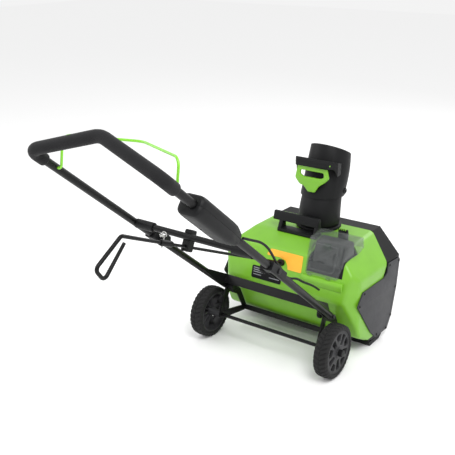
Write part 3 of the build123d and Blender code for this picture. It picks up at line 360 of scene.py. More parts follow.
def evaluated(mesh, set_up):
    """The mesh as it is with modifiers on it."""
    holder = bpy.data.objects.new("holder", mesh)
    bpy.context.scene.collection.objects.link(holder)
    helpers = set_up(holder) or []
    graph = bpy.context.evaluated_depsgraph_get()
    made = bpy.data.meshes.new_from_object(holder.evaluated_get(graph))
    for obj in [holder, *helpers]:
        bpy.data.objects.remove(obj)
    return made


def curve_mesh(curve):
    """The mesh of a curve."""
    holder = bpy.data.objects.new("holder", curve)
    mesh = bpy.data.meshes.new_from_object(holder)
    bpy.data.objects.remove(holder)
    return mesh


def bevelled(mesh, width, segments=3, angle=25):
    def set_up(holder):
        bevel = holder.modifiers.new("edges", "BEVEL")
        bevel.width = width * MM
        bevel.segments = segments
        bevel.limit_method = "ANGLE"
        bevel.angle_limit = math.radians(angle)
        bevel.use_clamp_overlap = True
    return smooth(evaluated(mesh, set_up))


def combined(mesh, others, operation="DIFFERENCE"):
    """Boolean of a mesh with others."""
    def set_up(holder):
        helpers = []
        for other in others:
            helper = bpy.data.objects.new("other", other)
            bpy.context.scene.collection.objects.link(helper)
            boolean = holder.modifiers.new("boolean", "BOOLEAN")
            boolean.operation = operation
            boolean.solver = "EXACT"
            boolean.object = helper
            helper.hide_render = True
            helpers.append(helper)
        return helpers
    made = evaluated(mesh, set_up)
    bm = bmesh.new()
    bm.from_mesh(made)
    bmesh.ops.remove_doubles(bm, verts=bm.verts, dist=0.00005)
    bmesh.ops.dissolve_limit(bm, angle_limit=math.radians(0.5), verts=bm.verts, edges=bm.edges)
    return from_bmesh(bm)


def rounded(points, radius, closed=True, steps=5):
    """The points with each corner turned into an arc. A list of radii gives each corner its own."""
    path = [Vector(p).to_3d() for p in points]
    count = len(path)
    radii = radius if hasattr(radius, "__len__") else [radius] * count
    made = []
    for index, corner in enumerate(path):
        if not closed and index in (0, count - 1):
            made.append(corner)
            continue
        before, after = path[index - 1], path[(index + 1) % count]
        run_in, run_out = (before - corner), (after - corner)
        half = run_in.angle(run_out) / 2
        if radii[index] < 1e-6 or half > math.radians(89.5):
            made.append(corner)
            continue
        reach = min(radii[index] / math.tan(half), 0.48 * run_in.length, 0.48 * run_out.length)
        arc = reach * math.tan(half)
        inward = (run_in.normalized() + run_out.normalized()).normalized()
        middle = corner + inward * (arc / math.sin(half))
        start = corner + run_in.normalized() * reach - middle
        end = corner + run_out.normalized() * reach - middle
        turn = max(start.angle(end, 0.0), 1e-4)
        for step in range(steps + 1):
            share = step / steps
            blend = start * math.sin((1 - share) * turn) + end * math.sin(share * turn)
            made.append(middle + blend / math.sin(turn))
    return made


def plate(loops, thick, edge, matrix):
    """Flat plate with holes from closed outlines, its back on the local plane, with rounded edges."""
    curve = bpy.data.curves.new("outline", "CURVE")
    curve.dimensions = "2D"
    curve.fill_mode = "BOTH"
    curve.extrude = thick / 2 - edge
    curve.bevel_depth = edge
    curve.bevel_resolution = 2
    curve.offset = -edge
    for loop in loops:
        spline = curve.splines.new("POLY")
        spline.points.add(len(loop) - 1)
        for point, place in zip(spline.points, loop):
            point.co = (place[0], place[1], 0, 1)
        spline.use_cyclic_u = True
    mesh = curve_mesh(curve)
    mesh.transform(matrix @ Matrix.Translation((0, 0, thick / 2)))
    bm = bmesh.new()
    bm.from_mesh(mesh)
    return smooth(from_bmesh(bm, 0.000005))


def tube(points, radius, ends=None, sides=20):
    """Round bar along points, capped. ends gives the share of the radius near each end, outermost first."""
    curve = bpy.data.curves.new("bar", "CURVE")
    curve.dimensions = "3D"
    curve.bevel_depth = radius * MM
    curve.bevel_resolution = sides // 4
    curve.use_fill_caps = True
    spline = curve.splines.new("POLY")
    spline.points.add(len(points) - 1)
    shares = [1.0] * len(points)
    for index, share in enumerate(ends or []):
        shares[index] = share
        shares[-1 - index] = share
    for point, place, share in zip(spline.points, points, shares):
        point.co = (*[c * MM for c in place], 1)
        point.radius = share
    return smooth(curve_mesh(curve), 40)


def cable(points, radius):
    """Round cable on one smooth curve that bends towards its points."""
    curve = bpy.data.curves.new("cable", "CURVE")
    curve.dimensions = "3D"
    curve.bevel_depth = radius * MM
    curve.bevel_resolution = 4
    curve.resolution_u = 16
    curve.use_fill_caps = True
    spline = curve.splines.new("NURBS")
    spline.points.add(len(points) - 1)
    for point, place in zip(spline.points, points):
        point.co = (*[c * MM for c in place], 1)
    spline.order_u = 3
    spline.use_endpoint_u = True
    return smooth(curve_mesh(curve), 50)


def skin_rings(bm, near, far):
    """Faces between two rings of vertices with the same count."""
    for step in range(len(near)):
        following = (step + 1) % len(near)
        bm.faces.new((near[step], near[following], far[following], far[step]))


def lathe(profile, y, z, turns=64, closed=False, shape=None):
    """Body of revolution about a line along X: profile of (x, radius), shaped by an optional function."""
    bm = bmesh.new()
    rings = []
    for x, radius in profile:
        ring = []
        for step in range(turns):
            angle = 2 * math.pi * step / turns
            reach = radius + (shape(x, radius, angle) if shape else 0.0)
            place = (x * MM, (y + reach * math.cos(angle)) * MM, (z + reach * math.sin(angle)) * MM)
            ring.append(bm.verts.new(place))
        rings.append(ring)
    pairs = list(zip(rings, rings[1:]))
    if closed:
        pairs.append((rings[-1], rings[0]))
    else:
        bm.faces.new(rings[0])
        bm.faces.new(rings[-1])
    for near, far in pairs:
        skin_rings(bm, near, far)
    return smooth(from_bmesh(bm))


def slab(outline, low, high, plane="YZ"):
    """Outline made solid between two levels: of X for YZ, of Y for XZ, of Z for XY."""
    order = {
        "YZ": lambda a, b, c: (c, a, b),
        "XZ": lambda a, b, c: (a, c, b),
        "XY": lambda a, b, c: (a, b, c),
    }
    bm = bmesh.new()
    ends = []
    for level in (low, high):
        ends.append([bm.verts.new(Vector(order[plane](p[0], p[1], level)) * MM) for p in outline])
    bm.faces.new(ends[0])
    bm.faces.new(ends[1])
    skin_rings(bm, ends[0], ends[1])
    return from_bmesh(bm)


def stacked(rings):
    """Solid through level rings of points, each with the same count."""
    bm = bmesh.new()
    made = [[bm.verts.new(Vector(p) * MM) for p in ring] for ring in rings]
    for near, far in zip(made, made[1:]):
        skin_rings(bm, near, far)
    bm.faces.new(made[0])
    bm.faces.new(made[-1])
    return from_bmesh(bm)


def circle(y, z, radius):
    """Level ring of 72 points about a point on the middle plane."""
    angles = [2 * math.pi * k / 72 for k in range(72)]
    return [(radius * math.cos(a), y + radius * math.sin(a), z) for a in angles]


# ------------------------------------------------------------------ wheels

def tread(x, radius, angle):
    """Grooves between chevron lugs, around the crown and over the shoulders."""
    if radius < SHOULDER_R:
        return 0.0
    offset = abs(abs(x) - WHEEL_X)
    phase = (angle * LUGS / (2 * math.pi) + offset / 22.0) % 1.0
    centre_line = 1.6 + 1.3 * math.sin(angle * LUGS)
    in_groove = phase > 0.66 or offset < centre_line
    return -GROOVE if in_groove else 0.0


def tyre_mesh():
    half = WHEEL_W / 2
    wall = [(-half + 1.5, RIM_R + 0.3), (-half, RIM_R + 3), (-half, 77.0), (-half + 1.0, 81.0),
            (-half + 2.4, 84.6)]
    crown = [(2.0 * k, WHEEL_R - 0.0062 * (2.0 * k) * (2.0 * k)) for k in range(-10, 11)]
    profile = wall + crown + [(-x, r) for x, r in reversed(wall)]
    return lathe([(WHEEL_X + x, r) for x, r in profile], AXLE_Y, WHEEL_R, turns=9 * LUGS, closed=True,
                 shape=tread)


def polar(radius, degrees):
    return (radius * math.cos(math.radians(degrees)), radius * math.sin(math.radians(degrees)))


def hub_face():
    """Spoked face: five wide windows near the rim and five wedges nearer the middle."""
    loops = [circle(0, 0, 66.0)]
    for k in range(SPOKES):
        a = 72 * k + 90
        b = a + 36
        wide = [polar(61.5, a - 15), polar(62.5, a), polar(61.5, a + 15), polar(42, a + 13),
                polar(39, a - 13)]
        wedge = [polar(60, b - 11), polar(61, b + 10), polar(25, b + 14), polar(27, b - 15)]
        loops.append(rounded(wide, 3.5, steps=3))
        loops.append(rounded(wedge, 3.5, steps=3))
    return plate(loops, 7.0, 1.1, at((WHEEL_X + 14, AXLE_Y, WHEEL_R), *YZ))


def hub_mesh():
    """Rim, boss and spoked face, with a rib behind each window and each wedge."""
    inner, outer = WHEEL_X - WHEEL_W / 2 + 3, WHEEL_X + WHEEL_W / 2 - 2
    rim = [(inner, 69.8), (outer - 0.6, 69.8), (outer, 69.0), (outer, 66.2), (outer - 3, 64.6),
           (inner, 65.0)]
    boss = [(193.0, 11.5), (194.0, 13.0), (outer - 1.5, 13.0), (outer - 1.5, 16.5), (outer + 0.2, 17.5),
            (outer + 1.4, 16.0), (outer + 1.4, 12.4)]
    ribs = []
    for k in range(2 * SPOKES):
        angle = math.radians(36 * k + 72)
        radial = (0.0, math.cos(angle), math.sin(angle))
        across = (0.0, -math.sin(angle), math.cos(angle))
        centre = (WHEEL_X - 4, AXLE_Y + 40 * radial[1], WHEEL_R + 40 * radial[2])
        rib = [(-26, -1.5), (26, -1.5), (26, 1.5), (-26, 1.5)]
        ribs.append(plate([rib], 24.0, 0.6, at(centre, radial, across)))
    rim_ring = lathe(rim, AXLE_Y, WHEEL_R, 96, closed=True)
    return joined([rim_ring, lathe(boss, AXLE_Y, WHEEL_R, 48), hub_face(), *ribs])


def add_wheels():
    pair("tyre_tread", tyre_mesh(), "tyre")
    pair("spoked_hub", smooth(hub_mesh()), "hub", extra="hub_grey")
    cap_start = WHEEL_X + 24.4
    cap_profile = [(cap_start, 8.0), (cap_start, 11.4), (277.0, 12.0), (278.6, 10.8), (279.0, 9.0)]
    cap = lathe(cap_profile, AXLE_Y, WHEEL_R, 40)
    piece("axle_end_caps", joined([cap, mirrored(cap)]), "axle_caps", ["axle_caps"])


# ------------------------------------------------------------------ handle

def loop_points(end_s):
    """Corners of the upper handle, from one end on the left leg to the other on the right."""
    corners = [leg_point(side * LEG_X, 0, CORNER_S) for side in (-1, 1)]
    return [leg_point(-LEG_X, 0, end_s), corners[0], APEX, corners[1], leg_point(LEG_X, 0, end_s)]


def add_handle_loop():
    bar = rounded(loop_points(PIVOT_S + 20), LOOP_BENDS, closed=False, steps=10)
    piece("handle_loop_tube", tube(bar, LEG_R), "upper_tube", ["upper_tube"])
    starts = [leg_point(-LEG_X, 0, GRIP_S + step) for step in (0, 0.4, 1.6, 4.0)]
    ends = [leg_point(LEG_X, 0, GRIP_S + step) for step in (4.0, 1.6, 0.4, 0)]
    middle = rounded(loop_points(GRIP_S), LOOP_BENDS, closed=False, steps=12)[1:-1]
    sleeve = tube([*starts, *middle, *ends], GRIP_R, ends=[0.80, 0.90, 0.97, 1.0], sides=32)
    grip = piece("foam_hand_grip", sleeve, "foam_grip", ["foam_grip"])


def knob_shape(x, radius, angle):
    """Eight finger hollows around the knob's rim."""
    return -2.8 * max(0.0, math.cos(8 * angle)) if radius > 14.5 else 0.0


def knob_mesh(s, x_inner, x_outer):
    point = leg_point(LEG_X, 0, s)
    profile = [(x_inner + 0.8, 10.6), (x_inner, 13.5), (x_inner + 1.5, 16.4), (x_inner + 3, 17.2),
               (x_inner + 11, 17.2), (x_inner + 13, 16.0), (x_inner + 14, 9.6), (x_outer, 9.0)]
    return lathe(profile, point[1], point[2], 96, shape=knob_shape)


def add_knobs():
    for name, s, inner, outer in (("lower", 0, 164, 187.2), ("upper", PIVOT_S, 168, 190.2)):
        knob = knob_mesh(s, inner, outer)
        piece(f"{name}_right_grip_knob", knob, f"{name}_right_knob", [f"{name}_right_knob"])
        piece(f"{name}_left_grip_knob", mirrored(knob), f"{name}_left_knob", [f"{name}_left_knob"])


def add_bail():
    _, y, z = leg_point(0, 0, BAIL_S)
    inner = LEG_X - LEG_R - 11
    points = [(-LEG_X - 22, y, z), (-inner, y, z), (-inner, y + 12, z + 84), (0, y + 100, z + 76),
              (inner, y + 12, z + 84), (inner, y, z), (LEG_X + 9, y, z)]
    wire = rounded(points, [0, 9, 22, 40, 22, 9, 0], closed=False, steps=8)
    piece("bail_wire", tube(wire, BAIL_WIRE_R, ends=[0.8, 1.0]), "bail_lever", ["bail_lever"])


def leg_ring(s, x_mid, width, height, corner):
    """Rounded rectangle square to a leg, at one station along it."""
    half_x, half_y = width / 2, height / 2
    outline = [(half_x, half_y), (-half_x, half_y), (-half_x, -half_y), (half_x, -half_y)]
    return [leg_point(x_mid + p.x, p.y, s) for p in rounded(outline, corner, steps=6)]


def add_switch_box():
    """Two-part box around the right leg, with a parting line, screw wells and a raised button seat."""
    rings = []
    for s, width, height, corner in BOX_SECTIONS:
        x_mid = 197.0 + max(0, 690 - s) * 0.28
        rings.append(leg_ring(s, x_mid, width, height, corner))
    solid = stacked(rings)
    bore = tube([leg_point(LEG_X, 0, s) for s in (BOX_START_S, BOX_END_S)], LEG_R + 0.2, sides=32)
    button_well = tube([leg_point(BUTTON_X, lift, BUTTON_S) for lift in (20, 60)], 9.8, sides=32)
    screw_wells = [tube([leg_point(x, -24, s), leg_point(x, -60, s)], 4.6, sides=16)
                   for x, s in ((178, 700), (182, 790), (178, 862))]
    halves = (("switch_box_top", 0.25, 60, [bore, button_well]),
              ("switch_box_bottom", -60, -0.25, [bore, *screw_wells]))
    for name, low, high, cutters in halves:
        corners = ((low, BOX_START_S), (high, BOX_START_S), (high, BOX_END_S), (low, BOX_END_S))
        half = slab([leg_point(0, lift, s)[1:] for lift, s in corners], 120, 280)
        made = combined(combined(solid, [half], "INTERSECT"), cutters)
        piece(f"{name}_shell", bevelled(made, 0.8, 2), name, [name])
    seat_profile = [(0, 12.4), (0.8, 13.0), (3.0, 12.6), (3.6, 11.6), (3.6, 9.9), (-1.0, 9.9), (-1.0, 12.4)]
    seat = lathe(seat_profile, 0, 0, 48, closed=True)
    axis_up = Matrix.Rotation(-math.pi / 2, 4, "Y")
    seat.transform(Matrix.Scale(1 / MM, 4))
    on_leg = at(leg_point(BUTTON_X, 27.6, BUTTON_S), (1, 0, 0), (0, -LEG_U[0], -LEG_U[1]))
    seat.transform(on_leg @ axis_up)
    piece("button_seat", smooth(seat), "switch_box_top")


def add_start_button():
    angles = [math.radians(a) for a in range(0, 360, 10)]
    rings = []
    for rise, radius in ((17.5, 9.2), (30.2, 9.2), (31.8, 8.6), (32.5, 7.2), (32.2, 5.0), (31.9, 1.5)):
        rings.append([leg_point(BUTTON_X + radius * math.cos(a), rise, BUTTON_S + radius * math.sin(a))
                      for a in angles])
    piece("start_push_button", smooth(stacked(rings)), "start_button", ["start_button"])


# ------------------------------------------------------------------ body shell

def chamfered_ends(half, low, high, top, top_half):
    """Outline (x, z) of the housing from behind: upright sides that slope in to its flat top."""
    return [(-half, low), (half, low), (half, high), (top_half, top), (-top_half, top), (-half, high)]


def chamfered_back(half, side_y, back_half, back_y):
    """Outline (x, y) of the housing from above: its back corners cut off."""
    right = [(half, 200), (half, side_y), (back_half, back_y)]
    return right + [(-x, y) for x, y in reversed(right)]


def housing_volume(side, ends, plan, low):
    """Where the side view, the view from behind and the plan of the housing meet, above the low level."""
    return combined(side, [slab(ends, -300, 300, "XZ"), slab(plan, low, 400, "XY")], "INTERSECT")


def add_housing():
    half = BODY_HALF - SKIN
    hollow = housing_volume(slab(HOLLOW_SIDE, -half, half), chamfered_ends(half, -40, 280, 364.5, 181),
                            chamfered_back(half, -147, 216, -201), -100)
    hollow = bevelled(hollow, 8, 3, 12)
    outer = housing_volume(slab(BODY_SIDE, -BODY_HALF, BODY_HALF),
                           chamfered_ends(BODY_HALF, 10, 281.5, TOP_Z, SHOULDER_HALF),
                           chamfered_back(BODY_HALF, -148, 218, -205), 0)
    outer = bevelled(outer, 11, 5, 12)
    sill_side = [(-178, 275.5), (-190, 274.5), (-194.5, 265), (-189, 243), (-182, 243)]
    sill = bevelled(slab(sill_side, 66, 216), 4, 4)
    lean = math.radians(22.6)
    up = (0.0, math.sin(lean), math.cos(lean))
    across = (0.0, math.cos(lean), -math.sin(lean))
    bay_outline = rounded([(77, -30), (208, -30), (208, 76.3), (77, 76.3)], 6)
    bay = plate([bay_outline], 150, 0.5, at((0, -177 + 1.5 * up[1], 284 + 1.5 * up[2]), (1, 0, 0), across))
    chute_hole = stacked([circle(CHUTE_Y, 340, 67), circle(CHUTE_Y, 400, 67)])
    shaft_hole = lathe([(-300, 14), (300, 14)], AUGER_Y, AUGER_Z, 48)
    rod_hole = tube([(ROD_X, -153, 278.5), (ROD_X, -208, 302.5)], 11.2, sides=32)
    shell = combined(outer, [hollow, slab(FRONT_CUT, -300, 300), bay, chute_hole, shaft_hole, rod_hole])
    shell = combined(shell, [sill], "UNION")
    piece("housing_shell", smooth(shell, 30), "main_housing", ["main_housing"])


def add_label():
    """Orange notice, left without print."""
    outline = [(-82, 34), (-66, 58), (58, 58), (60, 2), (8, 2), (4, 16), (-6, 30), (-30, 36)]
    label = plate([rounded(outline, 4)], 0.7, 0.2, on_slope(LABEL_SLOPE, 0.15))
    piece("notice_label", label, "warning_label", ["warning_label"])


def add_side_covers():
    """Side panels, each with a double lip along its front edge, and their screws."""
    outline = [(-134, 239), (18, 236), (42, 246), (50, 279), (139, 273), (128, 172), (100, 68), (70, 26),
               (-19, 30), (-61, 67), (-168, 198)]
    cover = plate([rounded(outline, 7, steps=4)], 5.4, 1.8, at((BODY_HALF + 0.3, 0, 0), *YZ))
    groove = rounded([(119, 262), (109, 172), (83, 76), (58, 42), (20, 40)], 12, closed=False, steps=4)
    lips = [tube([(BODY_HALF + 4.9, p.x + shift, p.y) for p in groove], 1.1, sides=8) for shift in (0, 5)]
    pair("side_panel", smooth(joined([cover, *lips])), "side_cover")
    x = BODY_HALF + 5.9
    head = [(x - 0.4, 4.6), (x + 1.2, 4.4), (x + 2.0, 3.4), (x + 2.0, 2.0), (x + 0.8, 1.8)]
    places = ((58, 270), (130, 264), (116, 170), (92, 72), (62, 33), (-12, 38), (-155, 198), (-125, 232))
    heads = [lathe(head, y, z, 24) for y, z in places]
    heads += [mirrored(made) for made in heads]
    piece("cover_screw_heads", smooth(joined(heads)), "cover_screws", ["cover_screws"])


def add_rating_plate():
    """Dark plate with pale bars where a maker would print its ratings."""
    outline = rounded([(-129, 10), (-11, 10), (-11, 54), (-129, 54)], 6, steps=4)
    dark = plate([outline], 1.2, 0.4, on_slope(PLATE_SLOPE, 0.2))
    piece("data_plate", dark, "rating_plate", ["rating_plate"])
    front = on_slope(PLATE_SLOPE, 1.4)
    bars = []
    for left, right, level in ((-122, -66, 45), (-122, -74, 38), (-122, -84, 31), (-58, -18, 45),
                               (-58, -26, 38), (-58, -18, 22), (-122, -90, 22)):
        bar = [(left, level), (right, level), (right, level + 3), (left, level + 3)]
        bars.append(plate([bar], 0.25, 0.05, front))
    piece("data_plate_bars", joined(bars), "rating_plate", extra="label_pale")


def door_solid(side, inset):
    """Volume of the battery lid from its side view, with its right back corner cut off."""
    left, right = 68 + inset, 227 - inset
    plan = [(left, 0), (left, -150), (left + 10, -195), (right - 44, -195), (right - 26, -170 + inset),
            (right, -108 + inset), (right, 0)]
    return combined(slab(side, left, right), [slab(plan, 200, 500, "XY")], "INTERSECT")


def add_battery_lid():
    """Smoked clear cover with bevelled corners and a raised panel."""
    outer_side = [(-188, 280), (-144.5, 395), (-72, 404), (-63.5, 360), (-63.5, 280)]
    inner_side = [(-185, 283), (-142, 392.2), (-74.8, 401.2), (-66.3, 360), (-66.3, 260), (-185, 260)]
    outer = bevelled(door_solid(outer_side, 0), 6, 4, 20)
    inner = bevelled(door_solid(inner_side, 2.8), 5, 3, 20)
    housing_side = [(120, 369.6), (-80, 364.6), (-163.6, 335.4), (-183, 272), (-183, 200), (120, 200)]
    shell = combined(outer, [inner, slab(housing_side, 0, 300)])
    barrels = []
    for x in (88, 156):
        barrels.append(lathe([(x, 3.2), (x + 0.8, 4.0), (x + 15.2, 4.0), (x + 16, 3.2)], *LID_HINGE, 24))
    lid = joined([smooth(shell, 30), *barrels])
    piece("battery_lid", smooth(lid, 30), "battery_door", ["battery_door"])
    panel = rounded([(84, 16), (172, 16), (180, 26), (180, 108), (84, 108)], 9, steps=4)
    hole = rounded([(90, 22), (169, 22), (174, 29), (174, 102), (90, 102)], 6, steps=4)
    piece("battery_lid_rib", plate([panel, hole], 1.8, 0.6, on_slope(LID_SLOPE, 0.0)), "battery_door")


def add_battery():
    side = [(-167.5, 293), (-133, 381.5), (-88, 388), (-80, 334), (-107.8, 268)]
    case = bevelled(slab(side, 84, 201), 6, 4, 20)
    piece("battery_case", case, "battery", ["battery"], extra="battery_grey")
    matrix = on_slope(BATTERY_SLOPE, 0.1)

    def flat(outline, thick, radius=2.0):
        return plate([rounded(outline, radius, steps=3)], thick, 0.5, matrix)

    greens = [flat([(112, 72), (150, 72), (142, 92), (120, 92)], 3.0),
              flat([(96, 8), (150, 8), (150, 16), (96, 16)], 3.4)]
    piece("battery_release_tabs", joined(greens), "battery", extra="battery_green")
    darks = [flat([(186, 2), (194, 2), (194, 90), (186, 90)], 2.2),
             flat([(98, 18), (140, 18), (134, 30), (104, 30)], 2.2),
             flat([(160, 62), (183, 62), (183, 65), (163, 65)], 1.2, 0.8),
             flat([(158, 36), (161, 36), (163, 65), (160, 65)], 1.2, 0.8)]
    piece("battery_dark_trim", joined(darks), "battery", look="dark_plastic")


def add_latch():
    barrel = lathe([(122, 3.2), (122.8, 4), (163.2, 4), (164, 3.2)], *CATCH_HINGE, 24)
    blade_side = [(-59, 369), (-51, 369), (-50, 392), (-55, 408), (-62.5, 409), (-62.5, 380)]
    blade = bevelled(slab(blade_side, 126, 160), 2, 3)
    piece("lid_latch", smooth(joined([barrel, blade])), "door_latch", ["door_latch"], look="dark_plastic")
    grip_side = [(-63.2, 404), (-54.5, 404.6), (-56, 410), (-63.2, 410.4)]
    grips = [bevelled(slab(grip_side, x, x + 4), 0.8, 2) for x in (130, 137, 144, 151)]
    piece("latch_grips", joined(grips), "door_latch", look="green_plastic")


def add_carry_handle():
    bar = bevelled(slab([(-75, 394), (-54, 392), (-50, 412), (-55, 424), (-67, 425)], -122, 56), 4, 4)
    housing = slab([(120, 368.6), (-80, 363.6), (-163, 334.6), (-163, 200), (120, 200)], -300, 300)
    foot_plan = rounded([(-96, -90), (60, -90), (60, -48), (-96, -48)], 7, steps=4)
    foot = combined(slab(foot_plan, 340, 371, "XY"), [housing])
    post_side = [(-88, 360), (-49, 360), (-51, 400), (-72, 400)]
    posts = []
    for left, right in ((-96, -82), (42, 56)):
        posts.append(bevelled(combined(slab(post_side, left, right), [housing]), 2.5, 3))
    made = joined([bar, bevelled(foot, 1.6, 2), *posts])
    piece("carry_grip", smooth(made), "carry_handle", ["carry_handle"])


# ------------------------------------------------------------------ chute

def smooth_sections(sections, levels):
    """Values between the given (z, centre Y, radius) sections on a smooth curve."""
    rings = []
    for step in range(levels + 1):
        place = step / levels * (len(sections) - 1)
        index = min(int(place), len(sections) - 2)
        t = place - index
        p0, p1, p2, p3 = [sections[min(max(index + k, 0), len(sections) - 1)] for k in (-1, 0, 1, 2)]
        values = []
        for a, b, c, d in zip(p0, p1, p2, p3):
            values.append(0.5 * (2 * b + (c - a) * t + (2 * a - 5 * b + 4 * c - d) * t * t
                                 + (3 * b - a - 3 * c + d) * t ** 3))
        rings.append(values)
    return rings


def tube_stack(sections, inset):
    """Solid through the sections, drawn in by inset."""
    return stacked([circle(y, z, r - inset) for z, y, r in smooth_sections(sections, 14)])


def lengthened(sections, shifts):
    """The sections with each one's level moved."""
    return [(z + shift, y, r) for (z, y, r), shift in zip(sections, shifts)]


def drum(low, high, radius):
    """Upright cylinder on the chute's turning axis."""
    return stacked([circle(CHUTE_Y, low, radius), circle(CHUTE_Y, high, radius)])


def add_chute():
    """Neck with its gear ring and hood pins, and the collar it turns in."""
    neck = combined(tube_stack(NECK_SECTIONS, 0), [
        tube_stack(lengthened(NECK_SECTIONS, (-2, 0, 0, 2)), WALL),
        slab([(80, 512), (96, 462), (150, 462), (150, 512)], -100, 100),
        slab([(-40, 505), (-40, 480), (20, 480), (20, 505)], -19, -15.5),
    ])
    lower = combined(drum(352, 376.4, 66), [drum(340, 400, CHUTE_BORE_R)])
    teeth = []
    for k in range(2 * RING_TEETH):
        reach = RING_TIP_R if k % 2 == 0 else RING_ROOT_R
        for edge in (-0.9, 0.9):
            angle = math.radians(180 / RING_TEETH * k + edge)
            teeth.append((reach * math.cos(angle), CHUTE_Y + reach * math.sin(angle)))
    bore = drum(330, 360, CHUTE_BORE_R)
    ring = combined(slab(teeth, 341, 349, "XY"), [bore])
    sleeve = combined(drum(348, 353, 62), [bore])
    pin = ((61, 3.0), (80, 3.0), (81, 2.2))
    pins = [lathe([(x * side, radius) for x, radius in pin], *HOOD_PIVOT, 24) for side in (1, -1)]
    made = joined([bevelled(neck, 0.9, 2, 30), lower, ring, sleeve, *pins])
    piece("chute_tube", smooth(made, 35), "chute_neck", ["chute_neck"])
    collar_profile = ((0.1, 78), (6.8, 78), (8.4, 77), (9.1, 75))
    collar = combined(stacked([circle(CHUTE_Y, TOP_Z + rise, radius) for rise, radius in collar_profile]),
                      [drum(350, 400, 66.4)])
    piece("chute_swivel_collar", smooth(collar, 35), "chute_collar", ["chute_collar"])


def cowl_solid(inset, outline):
    """Volume of the cowl: straight across the back, with arms that curve in to the hood's sides."""
    side, back = 79 - inset, inset - 38
    right = [(60 - inset / 2, back), (side, 4), (side - 3, 28), (side - 14, 56)]
    plan = [(-x, y) for x, y in reversed(right)] + right
    plan_solid = slab(rounded(plan, 9 - inset, steps=4), 500, 650, "XY")
    return combined(plan_solid, [slab(outline, -100, 100)], "INTERSECT")


def add_hood():
    """Deflector: a tube open to the front, the cowl behind it and an ear at each pivot."""
    hollow = tube_stack(lengthened(HOOD_SECTIONS, (-3, 0, 3)), WALL)
    front = [(78, 440), (86, 508), (142, 592), (142, 700), (260, 700), (260, 440)]
    rim = [(-60, 701), (260, 544), (260, 760), (-60, 760)]
    below = [(-100, 400), (200, 400), (200, 478), (-100, 478)]
    outside = [(-38, 590), (-38, 611), (-28, 617), (10, 606), (70, 587), (70, 560), (4, 560), (-8, 584),
               (-22, 590)]
    roof = [(-60, 500), (-60, 608), (-34, 608), (-27, 613), (10, 602), (90, 577), (90, 500)]
    pin_hole = lathe([(-100, PIN_HOLE_R), (100, PIN_HOLE_R)], *TRIGGER_PIVOT, 24)
    cowl = bevelled(cowl_solid(0, outside), 3.2, 4, 20)
    cowl = combined(cowl, [cowl_solid(3.5, roof), pin_hole, hollow])
    bore = lathe([(-100, PIN_HOLE_R), (100, PIN_HOLE_R)], *HOOD_PIVOT, 24)
    ears = []
    for x0, x1 in ((70, 79), (-79, -70)):
        ear = lathe([(x0, 9.0), (x0 + 1, 10), (x1 - 1, 10), (x1, 9.0)], *HOOD_PIVOT, 36)
        ears.append(combined(ear, [bore]))
    cuts = [slab(outline, -120, 120) for outline in (front, rim, below)]
    shell = combined(tube_stack(HOOD_SECTIONS, 0), [hollow, *cuts, bore])
    made = joined([bevelled(shell, 1.0, 2, 30), smooth(cowl, 35), *ears])
    piece("deflector_hood", smooth(made, 35), "chute_hood", ["chute_hood"])


def add_trigger():
    outline = [(-50, 605.5), (50, 605.5), (55, 591), (64, 556), (48, 540), (26, 524), (12, 501),
               (-14, 501), (-30, 519), (-48, 524), (-65, 544), (-55, 591)]
    radii = [6, 6, 10, 9, 10, 10, 8, 8, 8, 10, 14, 10]
    slot = [(-45, 574), (45, 574), (45, 558), (32, 552), (-32, 552), (-45, 558)]
    body = plate([rounded(outline, radii), rounded(slot, 6)], 9, 2.4, at((0, -21.5, 0), *FACING_BACK))
    pin = lathe([(-66, 2.4), (-65, 3.0), (65, 3.0), (66, 2.4)], *TRIGGER_PIVOT, 24)
    piece("finger_trigger", smooth(joined([body, pin])), "hood_trigger", ["hood_trigger"])


# ------------------------------------------------------------------ crank, lead and legs

def add_crank():
    """Rod with its socket, the bent hand loop and the spring clip that locks them."""
    socket, elbow = [(y - ROD_FOOT_Y) / ROD_U[0] for y in (SOCKET_Y, ELBOW_Y)]
    rod = tube([rod_point(0), rod_point(socket - 20)], 4.5)
    cone = tube([rod_point(s) for s in (-8.9, -8.8, -0.1, 0.1)], 13.0, ends=[0.46, 0.46])
    sleeve_stations = [rod_point(socket + step) for step in (-26, -25, -22, 22, 25, 26)]
    sleeve = tube(sleeve_stations, 9, ends=[0.72, 0.9, 1.0])
    piece("crank_front_rod", smooth(joined([rod, cone, sleeve])), "crank_rod", ["crank_rod"])
    hand_corners = [(ROD_X, -1026, 560), (ROD_X, -998, 521), (ROD_X, -921, 596)]
    points = [rod_point(socket + 2), rod_point(elbow), *hand_corners]
    hand = tube(rounded(points, [0, 13, 13, 13, 0], closed=False, steps=7), 5.5, ends=[0.85, 1.0])
    piece("crank_hand_loop", hand, "crank_handle", ["crank_handle"])
    clip_s = socket + 14
    pin = [rod_point(clip_s, lift) for lift in (-14, 17)]
    wave = [rod_point(clip_s + 2.2 * k, 18 + 3.5 * math.sin(k * 1.5)) for k in range(1, 11)]
    clip = tube(rounded([*pin, *wave], 2.0, closed=False, steps=3), 1.5, sides=10)
    top = Vector(rod_point(clip_s, 17))
    angles = [2 * math.pi * k / 20 for k in range(21)]
    ring = [top + Vector((7 * math.sin(a), 0, 7 - 7 * math.cos(a))) for a in angles]
    piece("spring_clip", smooth(joined([clip, tube(ring, 1.4, sides=8)])), "crank_clip", ["crank_clip"])


def add_lead():
    """One lead from the switch box to the housing, on one smooth curve past the handle's fold."""
    mesh = cable([leg_point(*p) for p in UPPER_CABLE + LOWER_CABLE], CABLE_R)
    mesh.materials.append(LOOKS["black_rubber"])
    lead = bpy.data.objects.new("switch_lead", mesh)
    bpy.context.scene.collection.objects.link(lead)
    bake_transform(lead)
    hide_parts("switch_cable", "leg_cable")


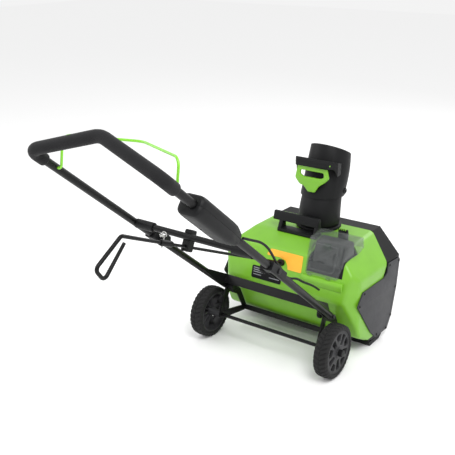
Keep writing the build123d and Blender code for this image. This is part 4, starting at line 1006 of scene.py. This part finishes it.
def add_legs():
    """Lower legs with rounded ends, drilled for the bolts of both folds."""
    bolt_holes = []
    for s in (0, PIVOT_S):
        point = leg_point(LEG_X, 0, s)
        bolt_holes.append(lathe([(190, 4.05), (230, 4.05)], point[1], point[2], 24))
    stations = [leg_point(LEG_X, 0, s) for s in (-11, -10, -7, -2, 440, 445, 448, 449)]
    leg = combined(tube(stations, LEG_R, ends=[0.25, 0.55, 0.86, 1.0], sides=32), bolt_holes)
    leg = smooth(leg, 35)
    piece("lower_leg_tubes", smooth(joined([leg, mirrored(leg)]), 35), "lower_legs", ["lower_legs"])


# ------------------------------------------------------------------ CAD nodes that stay, with softer edges

SOFT_EDGES = {"auger_shell": 1.2, "scraper_blade": 1.5, "frame_plates": 0.8, "lower_bar": 1.0,
              "cross_plate": 0.8, "rod_guide": 1.2, "crossbar_sleeves": 1.0, "fold_forks": 1.6,
              "battery_bay": 0.8, "motor_mount": 0.8, "controller": 0.6, "auger_paddles": 1.2}


def soften(node, width):
    """Rounded edges on a CAD node, by modifiers only."""
    obj = NODES[node]
    weld = obj.modifiers.new("weld", "WELD")
    weld.merge_threshold = 0.00002
    flat = obj.modifiers.new("flat", "DECIMATE")
    flat.decimate_type = "DISSOLVE"
    flat.angle_limit = math.radians(0.6)
    bevel = obj.modifiers.new("edges", "BEVEL")
    bevel.width = width * MM
    bevel.segments = 2
    bevel.limit_method = "ANGLE"
    bevel.angle_limit = math.radians(28.0)
    bevel.harden_normals = True
    bevel.use_clamp_overlap = True
    normals = obj.modifiers.new("normals", "WEIGHTED_NORMAL")
    normals.keep_sharp = True


# ------------------------------------------------------------------ the whole object

add_camera()
add_studio()
dress_frame()
add_side_covers()
add_rating_plate()
add_battery_lid()
add_battery()
add_latch()
add_carry_handle()
add_chute()
add_hood()
add_trigger()
add_crank()
add_lead()
add_legs()
for soft_node, edge_width in SOFT_EDGES.items():
    soften(soft_node, edge_width)
add_wheels()
add_handle_loop()
add_knobs()
add_bail()
add_switch_box()
add_start_button()
add_housing()
add_label()

bpy.context.view_layer.update()
